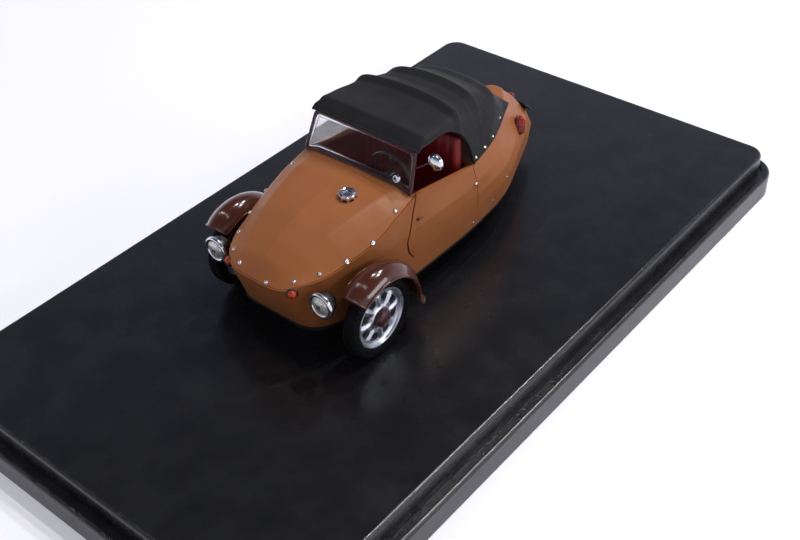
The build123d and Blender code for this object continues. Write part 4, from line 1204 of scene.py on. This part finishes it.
class MODELCAR_OT_wheels(bpy.types.Operator):
    """Tyres with tread, plated wheels with eight windows and the front hub caps"""

    bl_idname = "modelcar.wheels"
    bl_label = "Wheels"

    windows = 8
    window_r, window_half = 3.3, (0.68, 12.5)     # radius of the middle; half sizes, mm and degrees
    rings = (2.15, 4.2)                          # where the windowed part of the disc starts and ends

    def execute(self, context):
        depth = context.scene.modelcar_trim.tread_depth / MM
        for name, (x, y, side) in WHEEL_PLACES.items():
            centre = np.array([x, abs(y), AXLE_H + ROAD])
            front = y != 0
            rim = [self.disc(), self.barrel()]
            if not front:
                rim.append(other_side(self.disc()))
            points, faces = joined(rim)
            self.place(
                f"plated_rim_{name}", (points + centre, faces), "plated_wheel_styrene", name, side,
                "rim",
            )
            points, faces = self.tyre(depth)
            self.place(
                f"treaded_tyre_{name}", (points + centre, faces), "soft_vinyl_tyre", name, side,
                "tyre", False,
            )
            drum = [(-0.75, 0), (-0.75, 3.6), (-0.1, 3.9), (0.0, 3.7), (0.02, 0)]
            self.place(
                f"brake_drum_{name}", lathe_patch(drum, centre, (0, 1, 0)),
                "satin_black_chassis_enamel", name, side, None,
            )
            if front:
                cap = [(0.3, 0), (0.3, 1.45), (1.0, 1.45), (1.35, 1.38), (1.62, 1.15), (1.76, 0.7), (1.8, 0)]
                self.place(
                    f"domed_hub_cap_{name}", lathe_patch(cap, centre, (0, 1, 0)),
                    "sprayed_maroon_cap_enamel", name, side, "hub_cap",
                )
        return {"FINISHED"}

    def place(self, piece, patch, material, wheel, side, node, close=True):
        """One piece of a wheel on its side of the car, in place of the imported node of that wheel."""
        make_piece(
            piece, on_side(patch, side), material, node and f"{wheel}_{node}", f"{wheel}_wheel",
            close=close,
        )

    def height(self, r, turn):
        """How far the disc's face stands out at a radius and an angle: a dished profile, with a
        rounded spoke half way between two windows."""
        places = (0.0, 1.5, 1.7, 1.95, 2.3, 3.3, 4.1, 4.35, 4.55)
        out = (0.62, 0.62, 0.78, 0.55, 0.46, 0.42, 0.34, 0.45, 0.62)
        spoke = np.cos(self.windows * turn / 2) ** 2
        along = np.clip((r - 1.8) / 0.5, 0, 1) * np.clip((4.3 - r) / 0.4, 0, 1)
        return np.interp(r, places, out) + 0.3 * along * spoke ** 6

    def round_points(self, r, turn, out):
        """Points about the wheel's centre, the face towards +Y."""
        return np.stack([-r * np.cos(turn), out, r * np.sin(turn)], axis=-1)

    def disc(self):
        """One windowed sector between two spokes, turned eight times, with the hub inside it and the
        rim's lip outside. A sector's rows run along the back to the window, a superellipse,
        round its rolled edge and out along the face to the sector's own four sides."""
        side = np.linspace(-1, 1, 11)[:-1]
        square = np.vstack([
            np.stack([side, 0 * side - 1], -1), np.stack([0 * side + 1, side], -1),
            np.stack([-side, 0 * side + 1], -1), np.stack([0 * side - 1, -side], -1),
        ])
        window = superellipse(square, 3.5)
        low, high = self.rings
        middle = (low + high) / 2
        half_sector = np.pi / self.windows
        wide = np.radians(self.window_half[1])
        inner = np.stack([self.window_r + self.window_half[0] * window[:, 0], wide * window[:, 1]], -1)
        outer = np.stack([middle + (high - low) / 2 * square[:, 0], half_sector * square[:, 1]], -1)
        share = np.linspace(0, 1, 9)[:, None, None] ** 0.8
        flat = inner * (1 - share) + outer * share
        rolled = np.stack([inner, inner])
        plan = np.concatenate([flat[::-1], rolled, flat])
        sink = np.concatenate([0.5 + np.zeros(len(flat)), [0.25, 0.07], np.zeros(len(flat))])[:, None]
        patches = []
        for k in range(self.windows):
            turn = plan[..., 1] + (2 * k + 1) * half_sector
            out = self.height(plan[..., 0], turn) - sink
            patches.append(sheet_patch(self.round_points(plan[..., 0], turn, out), wrap_columns=True))
        turns = np.arange(10 * self.windows) / (10 * self.windows) * 2 * np.pi
        hub = np.array([low, 1.8, 0.9, 0, 0, 0.7, 1.5, 1.6, 1.7, 1.82, 1.95, low])
        hub_sink = np.array([0.5] * 4 + [0] * 8)
        lip = np.linspace(high, 4.53, 7)
        lip_sink = np.array([0] * 7 + [0.5] * 7)
        for radii, back in ((hub, hub_sink), (np.concatenate([lip, lip[::-1]]), lip_sink)):
            r, turn = np.meshgrid(radii, turns, indexing="ij")
            out = self.height(r, turn) - back[:, None]
            patches.append(sheet_patch(self.round_points(r, turn, out), wrap_columns=True))
        return joined(patches)

    def barrel(self):
        """The rim's rounded lip and the barrel across the wheel."""
        lip = [
            (0.62, 4.55), (0.85, 4.6), (0.97, 4.72), (0.97, 4.88), (0.86, 4.95), (0.6, 4.9), (-0.6, 4.9),
            (-0.86, 4.95), (-0.97, 4.88), (-0.97, 4.72), (-0.85, 4.6), (-0.5, 4.5), (0.3, 4.5), (0.62, 4.55),
        ]
        return lathe_patch(lip, (0, 0, 0), (0, 1, 0), 80)

    def tyre(self, depth):
        """A rounded section turned about the axle. Three grooves run round the tread, and short
        slits cross its two outer ribs in turn."""
        section = np.array([
            (-0.75, 4.82), (-1.0, 5.0), (-1.12, 5.4), (-1.15, 5.8), (-1.1, 6.2), (-0.95, 6.45), (-0.7, 6.57),
            (0.0, 6.6), (0.7, 6.57), (0.95, 6.45), (1.1, 6.2), (1.15, 5.8), (1.12, 5.4), (1.0, 5.0),
            (0.75, 4.82),
        ])
        length = length_along(section)
        place = np.linspace(0, length[-1], 64)
        out = rounded_interp(place, length, section[:, 0], 0.08)[:, None]
        r = rounded_interp(place, length, section[:, 1], 0.08)[:, None]
        turn = full_turn(288)[None]
        groove = sum(np.exp(-((out - g) / 0.07) ** 2) for g in (-0.42, 0.0, 0.42))
        slits = np.clip(np.sin(48 * turn + np.pi * (out > 0)) * 3 - 1.6, 0, 1) * (np.abs(out) > 0.5)
        tread = np.clip(groove + slits, 0, 1) * (r > 6.35)
        ribs = 0.03 * np.exp(-((r - 5.3) / 0.06) ** 2)
        r = r - depth * tread
        out = out * (1 + ribs) + 0 * turn
        grid = self.round_points(r + 0 * turn, turn + 0 * r, out)
        return grid.reshape(-1, 3), grid_faces(*grid.shape[:2], True, True)


class MODELCAR_OT_lamps(bpy.types.Operator):
    """Headlamps, indicators, tail lamps and the number plate with its lamp"""

    bl_idname = "modelcar.lamps"
    bl_label = "Lamps and plate"

    head_place = (26.9, 10.65, 12.2)
    indicator_place, indicator_heading = (28.0, 6.3, 13.0), 42.0
    tail_place, tail_heading = (-28.3, 6.1, 12.3), 116.0
    plate_place, plate_slope = (-36.3, 10.4), 42.5
    plate_lamp_place = (-34.0, 13.2)

    def execute(self, context):
        for name, side in SIDES.items():
            self.headlamp(name, side)
            self.indicator(name, side)
            self.tail_lamp(name, side)
        self.plate()
        return {"FINISHED"}

    def headlamp(self, name, side):
        """Lathe turned pieces about the lamp's own axis: a bowl, a broad rounded ring, a black disc that
        paints the shade in the bulb's hole, and a crowned, silver backed lens with moulded flutes."""
        centre = np.array(self.head_place) + (0, 0, ROAD)
        ahead = (1, 0, 0)
        turn = np.linspace(0, np.pi / 2, 18)
        bowl = np.stack([-0.35 - 2.3 * np.cos(turn), 1.9 * np.sin(turn)], -1)
        inside = np.stack([-0.35 - 2.1 * np.cos(turn), 1.7 * np.sin(turn)], -1)[::-1]
        self.turned(
            f"headlamp_shell_{name}", np.vstack([bowl, inside]), centre, ahead, side,
            "moulded_black_styrene", f"headlamp_bowl_{name}",
        )
        ring = ring_profile(1.82, 0.66, 0.72) - (0.16, 0)
        self.turned(
            f"headlamp_bezel_{name}", ring, centre, ahead, side, "vacuum_metallised_styrene",
            f"headlamp_ring_{name}",
        )
        # painted shade: a black disc stands for the shade in the bulb's hole
        shade = dome(0.4, 0.05, 0.05) + (0.36, 0)
        self.turned(
            f"headlamp_bulb_shade_{name}", shade, centre, ahead, side, "moulded_black_styrene",
        )
        r = np.linspace(1.6, 0, 24)[:, None]
        around = full_turn(96)[None]
        across = r * np.cos(around)
        flute = 0.045 * np.cos(2 * np.pi * across / 0.4) * np.clip((1.5 - r) / 0.3, 0, 1)
        out = 0.02 + 0.42 * (1 - (r / 1.6) ** 2) + flute
        front = np.stack([out, across, r * np.sin(around)], -1)
        back = np.stack([0 * out - 0.12, across, r * np.sin(around)], -1)[::-1]
        points, faces = sheet_patch(np.concatenate([front, back]), wrap_columns=True)
        make_piece(
            f"headlamp_lens_fluted_{name}", on_side((points + centre, faces), side),
            "silver_backed_lamp_styrene", f"headlamp_lens_{name}", sharp=60,
        )

    def turned(self, piece, profile, centre, axis, side, material, node=None, steps=56):
        """A closed turned piece on its side of the car."""
        make_piece(
            piece, on_side(lathe_patch(profile, centre, axis, steps), side), material, node,
            sharp=50,
        )

    def side_seat(self, place, heading):
        """Where the lamp's axis meets the body, and the axis."""
        axis = np.array([math.cos(math.radians(heading)), math.sin(math.radians(heading)), 0.0])
        start = np.array(place) + (0, 0, ROAD) + 4 * axis
        panel = bpy.data.objects["nose_and_sills" if place[0] > 0 else "tail_panel"]
        (point, _), = seats_on(panel, [start], -axis)
        return point, axis

    def indicator(self, name, side):
        """A small round lens, half a ball, in a black base."""
        point, axis = self.side_seat(self.indicator_place, self.indicator_heading)
        base = [(-0.3, 0), (-0.3, 0.88), (0.12, 0.88), (0.2, 0.8), (0.2, 0)]
        self.turned(f"indicator_base_{name}", base, point, axis, side, "moulded_black_styrene")
        self.turned(
            f"indicator_dome_{name}", dome(0.66, 0.55, 0.3) + (0.02, 0), point, axis, side,
            "orange_lamp_styrene", f"indicator_{name}", 32,
        )

    def tail_lamp(self, name, side):
        """A black base and two lens halves, each a rounded bar: the section is a superellipse that
        narrows to the lamp's round end."""
        point, axis = self.side_seat(self.tail_place, self.tail_heading)
        over = np.array([-0.3, -0.05, 1.0])
        over = unit(over - over.dot(axis) * axis)
        across = np.cross(over, axis)
        for piece, material, ends, size, lift in (
            ("base", "moulded_black_styrene", (-1, 1), (0.86, 1.8, 0.3), -0.1),
            ("upper", "scarlet_lamp_styrene", (0.02, 1), (0.76, 1.66, 1.25), 0.1),
            ("lower", "crimson_lamp_styrene", (-1, -0.02), (0.76, 1.66, 1.25), 0.1),
        ):
            width, length, depth = size
            u = np.linspace(*ends, 25)[:, None]
            round_end = np.clip((np.abs(u) * length - (length - width)) / width, 0, 1)
            half = np.sqrt(np.clip(1 - round_end ** 2, 0, 1))
            turn = full_turn(28)[None]
            cos, sin = np.cos(turn), np.sin(turn)
            size_of = (np.abs(cos) ** 3 + np.abs(sin) ** 3) ** (1 / 3)
            wide = width * half * cos / size_of
            deep = lift + depth * (0.25 + 0.75 * half) * np.clip(sin / size_of, -0.4, 1)
            grid = (
                point + wide[..., None] * across + deep[..., None] * axis
                + (u * length + 0 * turn)[..., None] * over
            )
            node = f"tail_lamp_{name}" if piece == "upper" else None
            make_piece(
                f"tail_lamp_{piece}_{name}", on_side(capped_patch(grid), side),
                material, node, sharp=50,
            )

    def plate(self):
        """A blank pressed plate with a raised edge: rows run out from its middle to a rounded
        rectangle and over its rim; and the lamp above it."""
        slope = math.radians(self.plate_slope)
        normal = np.array([-math.cos(slope), 0, math.sin(slope)])
        up = np.array([math.sin(slope), 0, math.cos(slope)])
        centre = np.array([self.plate_place[0], 0, ROAD + self.plate_place[1]])
        turn = full_turn(96)
        around = np.stack([np.cos(turn), np.sin(turn)], -1)
        around = superellipse(around, 9)
        share = np.array([0, 0.5, 0.9, 0.94, 0.97, 1.0, 1.0, 0.9, 0.0])
        lift = np.array([0.12, 0.12, 0.12, 0.2, 0.22, 0.16, -0.12, -0.14, -0.14])
        plan = share[:, None, None] * around * (2.3, 1.5)
        grid = (
            centre + plan[..., :1] * np.array([0, 1.0, 0]) + plan[..., 1:] * up
            + lift[:, None, None] * normal
        )
        make_piece(
            "number_plate_pressed", sheet_patch(grid, wrap_columns=True), "moulded_black_styrene",
            "number_plate",
        )
        start = np.array([self.plate_lamp_place[0], 0.05, ROAD + self.plate_lamp_place[1]]) + 3 * normal
        (point, _), = seats_on(bpy.data.objects["tail_panel"], [start], -normal)
        base = [(-0.2, 0), (-0.2, 0.72), (0.16, 0.72), (0.22, 0.66), (0.22, 0)]
        make_piece("plate_lamp_base", lathe_patch(base, point, normal, 32), "moulded_black_styrene")
        make_piece(
            "plate_lamp_dome", lathe_patch(dome(0.6, 0.45, 0.2) + (0.05, 0), point, normal, 32),
            "crimson_lamp_styrene", "plate_lamp",
        )


class MODELCAR_OT_fittings(bpy.types.Operator):
    """Press studs, rivets, handles, filler cap, mirror and wiper"""

    bl_idname = "modelcar.fittings"
    bl_label = "Small fittings"

    # x and y of the press studs along the bonnet's hem, on the left and on the right
    hem_studs = (
        (9.8, 10.5), (15.4, 10.75), (20.0, 9.75), (24.0, 8.15), (27.0, 6.0), (29.0, 2.3),
        (28.4, -3.6), (26.9, -6.3), (24.0, -8.15), (20.0, -9.75), (15.4, -10.75), (10.0, -9.85),
    )
    hood_studs = ((-9.5, 17.7), (-12.7, 17.7), (-15.8, 17.8), (-20.4, 18.2))     # x and height
    rivets = ((-18.1, 9.3), (-13.5, 7.4), (-7.9, 6.4))
    latch, handle = (-8.45, 14.0), (6.0, 15.4)
    filler_place = (12.5, 3.7)
    mirror_place, mirror_foot = (2.3, 12.2, 23.9), (4.75, 10.4, 23.4)

    def execute(self, context):
        radius = context.scene.modelcar_trim.stud_radius / MM
        down, inward = (0, 0, -1), (0, -1, 0)
        seats = seats_on(bpy.data.objects["bonnet_panel"], [(x, y, 60) for x, y in self.hem_studs], down)
        self.studs("hem_press_studs", seats, radius, 0.22)
        hood = seats_on(
            bpy.data.objects["hood_cloth"], [(x, 30, h + ROAD) for x, h in self.hood_studs], inward
        )
        hood += [(point * (1, -1, 1), normal * (1, -1, 1)) for point, normal in hood]
        self.studs("hood_press_studs", hood, 0.85 * radius, 0.2)
        places = [(x, 30, h + ROAD) for x, h in self.rivets]
        sides = seats_on(bpy.data.objects["tail_panel"], places[:2], inward)
        sides += seats_on(bpy.data.objects["nose_and_sills"], places[2:], inward)
        sides += [(point * (1, -1, 1), normal * (1, -1, 1)) for point, normal in sides]
        self.studs("side_rivets", sides, 0.2, 0.1)
        for name, side in SIDES.items():
            self.door_furniture(name, side)
        self.filler_cap()
        self.mirror()
        self.wiper()
        return {"FINISHED"}

    def studs(self, name, seats, radius, height):
        """Low domes, each on a thin flange, seated square on the surface that carries them."""
        flange = [(-0.15, 0), (-0.15, radius), (0.05, radius)]
        profile = np.vstack([flange, dome(0.8 * radius, height, 0.06)[2:]])
        patches = [lathe_patch(profile, point, normal, 20) for point, normal in seats]
        make_piece(name, joined(patches), "vacuum_metallised_styrene")

    def door_furniture(self, name, side):
        """A lever handle on a round boss, and the latch at the door's rear edge."""
        panel = bpy.data.objects["door_panel_left"]
        places = [(x, 30, h + ROAD) for x, h in (self.handle, (self.latch[0] + 0.35, self.latch[1]))]
        (boss, out), (latch, latch_out) = seats_on(panel, places, (0, -1, 0))
        path = boss + np.array([(0.1, 0.1, 0), (0.1, 0.3, 0), (-0.15, 0.36, 0), (-0.85, 0.34, 0.03)])
        patches = [
            lathe_patch(dome(0.22, 0.1, 0.18) - (0.1, 0), boss, out, 20),
            tube_patch(path, (0.13, 0.13, 0.12, 0.1), up=(0, 0, 1), sides=12),
        ]
        make_piece(
            f"door_handle_{name}", on_side(joined(patches), side), "moulded_black_styrene",
            sharp=50,
        )
        knob = lathe_patch(dome(0.3, 0.16, 0.28) - (0.12, 0), latch, latch_out, 20)
        make_piece(f"door_latch_{name}", on_side(knob, side), "vacuum_metallised_styrene")

    def filler_cap(self):
        """A cap with eight finger lobes: the radius waves with the angle, the top is dished round a
        raised middle."""
        x, y = self.filler_place
        top = 20.62 + ROAD
        turn = full_turn(128)[None]
        share = np.array([0, 0.25, 0.5, 0.7, 0.84, 0.93, 0.98, 1.0, 1.0, 1.0, 0.0])[:, None]
        lift = np.array([0.1, 0.08, -0.04, -0.05, 0.05, 0.08, 0.03, -0.08, -0.4, -0.9, -0.9])[:, None]
        r = share * (1.36 + 0.08 * np.cos(8 * turn) * np.clip((share - 0.5) * 2, 0, 1))
        grid = np.stack([x + r * np.cos(turn), y + r * np.sin(turn), top + lift + 0 * turn], -1)
        make_piece(
            "lobed_filler_cap", sheet_patch(grid, wrap_columns=True), "vacuum_metallised_styrene",
            "filler_cap",
        )
        seat = lathe_patch(
            [(-0.9, 0), (-0.9, 1.42), (-0.5, 1.42), (-0.44, 1.36), (-0.44, 0)], (x, y, top), (0, 0, 1), 48
        )
        make_piece("filler_cap_gasket", seat, "moulded_black_styrene")

    def mirror(self):
        """A domed plated shell with the glass behind, on a thin dark arm."""
        centre = np.array(self.mirror_place) + (0, 0, ROAD)
        turn = np.linspace(0, np.pi / 2, 16)
        shell = np.stack([0.15 + 0.85 * np.cos(turn), 1.3 * np.sin(turn)], -1)
        rim = [(0.0, 1.36), (-0.12, 1.33), (-0.14, 1.18), (-0.04, 1.14), (-0.02, 0)]
        make_piece(
            "mirror_shell", lathe_patch(np.vstack([shell, rim]), centre, (1, 0, 0), 48),
            "vacuum_metallised_styrene", "door_mirror",
        )
        foot = np.array(self.mirror_foot) + (0, 0, ROAD)
        path = foot + (centre + (0.5, -0.6, 0) - foot) * np.linspace(0, 1, 9)[:, None]
        path[:, 0] += 0.25 * np.sin(np.linspace(0, np.pi, 9))
        make_piece("mirror_arm", tube_patch(path, 0.14, sides=10), "brushed_on_maroon_enamel")

    def wiper(self):
        """The spindle's plated boss, the arm parked along the foot of the glass and its blade."""
        rise = np.array(SCREEN_TOP) - SCREEN_FOOT
        slope = unit(np.array([rise[0], 0, rise[1]]))
        out = np.array([slope[2], 0, -slope[0]])
        foot = np.array([SCREEN_FOOT[0], 0, SCREEN_FOOT[1] + ROAD])

        def on_screen(y, up, lift):
            return foot + (0, y, 0) + up * slope + lift * out

        boss = on_screen(7.75, 1.2, 0.2)
        ring = ring_profile(0.5, 0.24, 0.4) + (0.2, 0)
        patches = [
            lathe_patch(ring, boss, out, 36),
            lathe_patch([(-0.15, 0), (-0.15, 0.42), (0.15, 0.42), (0.2, 0.36), (0.22, 0)], boss, out, 36),
        ]
        make_piece("wiper_spindle_boss", joined(patches), "vacuum_metallised_styrene")
        arm = np.array([on_screen(7.6, 1.15, 0.45), on_screen(5.5, 1.2, 0.5), on_screen(3.0, 1.15, 0.55)])
        blade = np.array([on_screen(6.2, 0.95, 0.42), on_screen(3.0, 1.0, 0.42), on_screen(-1.3, 0.9, 0.42)])
        patches = [
            tube_patch(arm, (0.16, 0.13, 0.1), up=(1, 0, 0), sides=10),
            tube_patch(blade, 0.12, up=(1, 0, 0), sides=10),
        ]
        make_piece("wiper_arm_and_blade", joined(patches), "moulded_black_styrene", "wiper")


class MODELCAR_OT_screen(bpy.types.Operator):
    """Windscreen frame of round bar, with the pane's clear edge"""

    bl_idname = "modelcar.screen"
    bl_label = "Windscreen"

    low, high = SCREEN_FOOT, SCREEN_TOP
    half_low, half_high = 10.7, 10.1

    def execute(self, context):
        bar = 0.27
        frame_line = self.outline(0.25, 0.16)
        make_piece(
            "screen_frame_bar", tube_patch(frame_line, bar, up=(1, 0, 0.36), sides=12, closed=True),
            "brushed_on_maroon_enamel", "windscreen_frame",
        )
        edge_line = self.outline(0.68, 0.16)
        corner = edge_line - (4.2, -9.0, 25.4 + ROAD)
        near_corner = np.exp(-(np.linalg.norm(corner, axis=1) / 5.5) ** 2)
        make_piece(
            "screen_pane_edge",
            tube_patch(edge_line, 0.06 + 0.26 * near_corner, up=(1, 0, 0.36), sides=10, closed=True),
            "clear_acetate_edge",
        )
        y = np.linspace(-10.4, 10.4, 60)
        foot = np.stack([self.low[0] + 0 * y, y, self.foot_h(y) + 0.02 + ROAD], -1)
        make_piece(
            "screen_foot_seal", tube_patch(foot, 0.3, up=(1, 0, 0), sides=10),
            "moulded_black_styrene",
        )
        return {"FINISHED"}

    def foot_h(self, y):
        """Height of the bonnet under the frame."""
        return np.minimum(bonnet_h(self.low[0] + 0 * y, y), 20.1)

    def outline(self, inset, raised):
        """The frame's centre line, drawn in by inset and raised at the top into the hood's flap:
        along the bonnet's crown, up the left post, across the top and down the right post."""
        y = np.linspace(-(self.half_low - inset), self.half_low - inset, 81)
        foot_h = np.maximum(self.foot_h(y) + inset, self.low[1] - 0.3 + inset)
        share = (foot_h - self.low[1]) / (self.high[1] - self.low[1])
        foot = np.stack([self.low[0] + share * (self.high[0] - self.low[0]), y, foot_h + ROAD], -1)
        top_h = self.high[1] - inset + raised
        top_share = (top_h - self.low[1]) / (self.high[1] - self.low[1])
        top_x = self.low[0] + top_share * (self.high[0] - self.low[0])
        half = self.half_high - inset
        corner = 0.35
        rise = np.linspace(0, 1, 24)[1:-1, None]
        top_left = np.array([top_x, half, top_h + ROAD])
        left = foot[-1] + (top_left - (0, 0, corner) - foot[-1]) * rise
        across = np.linspace(half - corner, -(half - corner), 41)
        top = np.stack([top_x + 0 * across, across, top_h + ROAD + 0 * across], -1)
        top_right = top_left * (1, -1, 1)
        right = (top_right - (0, 0, corner)) + (foot[0] - top_right + (0, 0, corner)) * rise
        return np.vstack([foot, left, top, right])


class MODELCAR_OT_cabin(bpy.types.Operator):
    """Red lining inside the doors and the quarters, and the floor mat"""

    bl_idname = "modelcar.cabin"
    bl_label = "Cabin lining"

    def execute(self, context):
        leather = "painted_red_leathercloth"
        share = np.linspace(0, 1, 70)[:, None]
        up = np.linspace(0, 1, 24)[None]
        x = 5.3 * (1 - share) - 9.6 * share
        top = np.minimum(door_top_h(x), 19.3) - 0.25
        top = np.where(x < DOOR_REAR_X, DECK_H - 0.9, top)
        h = 6.0 + up * (top - 6.0)
        outer = body_at(along_of(x + 0 * h, h), h)
        run = unit(np.gradient(outer, axis=0)[..., :2])
        outer[..., :2] += 0.78 * np.stack([-run[..., 1], run[..., 0]], axis=-1)
        lining = shell_patch(outer, 0.25)
        for name, side in SIDES.items():
            make_piece(f"door_lining_{name}", on_side(lining, side), leather, sharp=50)
        floor_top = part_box("floor_pan")[1][2] / MM
        x = np.linspace(5.0, -5.0, 40)[:, None]
        y = np.linspace(-8.8, 8.8, 60)[None]
        wave = 0.04 * np.sin(3.1 * x + 0.7 * y) * np.cos(2.3 * y)
        edge = np.clip(np.minimum(5.0 - np.abs(x), 8.8 - np.abs(y)) / 0.3, 0, 1)
        top_h = floor_top + 0.12 + 0.2 * np.sqrt(edge) + wave * edge
        mat = np.stack([x + 0 * y, y + 0 * x, top_h], -1)
        make_piece("floor_mat", shell_patch(mat, 0.2), "flocked_red_floor_mat", sharp=60)
        return {"FINISHED"}


class MODELCAR_PT_panel(bpy.types.Panel):
    """Lists the operators that dress the model"""

    bl_idname = "MODELCAR_PT_panel"
    bl_label = "Model car"
    bl_space_type = "VIEW_3D"
    bl_region_type = "UI"
    bl_category = "Model car"

    def draw(self, context):
        for cls in CLASSES:
            if issubclass(cls, bpy.types.Operator):
                self.layout.operator(cls.bl_idname)
        for settings in ("modelcar_stage", "modelcar_paint", "modelcar_hood", "modelcar_trim"):
            group = getattr(context.scene, settings)
            for key in group.__annotations__:
                self.layout.prop(group, key)


CLASSES = (
    ModelCarStage, ModelCarPaint, ModelCarHood, ModelCarTrim,
    MODELCAR_OT_stage, MODELCAR_OT_finishes, MODELCAR_OT_body, MODELCAR_OT_hood, MODELCAR_OT_seat,
    MODELCAR_OT_mudguards, MODELCAR_OT_wheels, MODELCAR_OT_lamps, MODELCAR_OT_fittings,
    MODELCAR_OT_screen, MODELCAR_OT_cabin, MODELCAR_PT_panel,
)


def register():
    """Registers the classes and hangs the settings on the scene."""
    for cls in CLASSES:
        bpy.utils.register_class(cls)
    bpy.types.Scene.modelcar_stage = bpy.props.PointerProperty(type=ModelCarStage)
    bpy.types.Scene.modelcar_paint = bpy.props.PointerProperty(type=ModelCarPaint)
    bpy.types.Scene.modelcar_hood = bpy.props.PointerProperty(type=ModelCarHood)
    bpy.types.Scene.modelcar_trim = bpy.props.PointerProperty(type=ModelCarTrim)


def unregister():
    """Takes the settings and the classes away."""
    del bpy.types.Scene.modelcar_trim
    del bpy.types.Scene.modelcar_hood
    del bpy.types.Scene.modelcar_paint
    del bpy.types.Scene.modelcar_stage
    for cls in reversed(CLASSES):
        bpy.utils.unregister_class(cls)


def corners(box):
    """A box's two corners as plain lists."""
    return [[round(v, 6) for v in corner] for corner in box]


def main():
    """Makes the scene."""
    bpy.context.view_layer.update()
    register()
    bpy.context.scene.view_settings.view_transform = "Standard"
    bpy.ops.modelcar.stage()
    bpy.ops.modelcar.finishes()
    bpy.ops.modelcar.body()
    bpy.ops.modelcar.hood()
    bpy.ops.modelcar.seat()
    bpy.ops.modelcar.mudguards()
    bpy.ops.modelcar.wheels()
    bpy.ops.modelcar.screen()
    bpy.ops.modelcar.cabin()
    bpy.ops.modelcar.lamps()
    bpy.ops.modelcar.fittings()


if __name__ == "__main__":
    main()
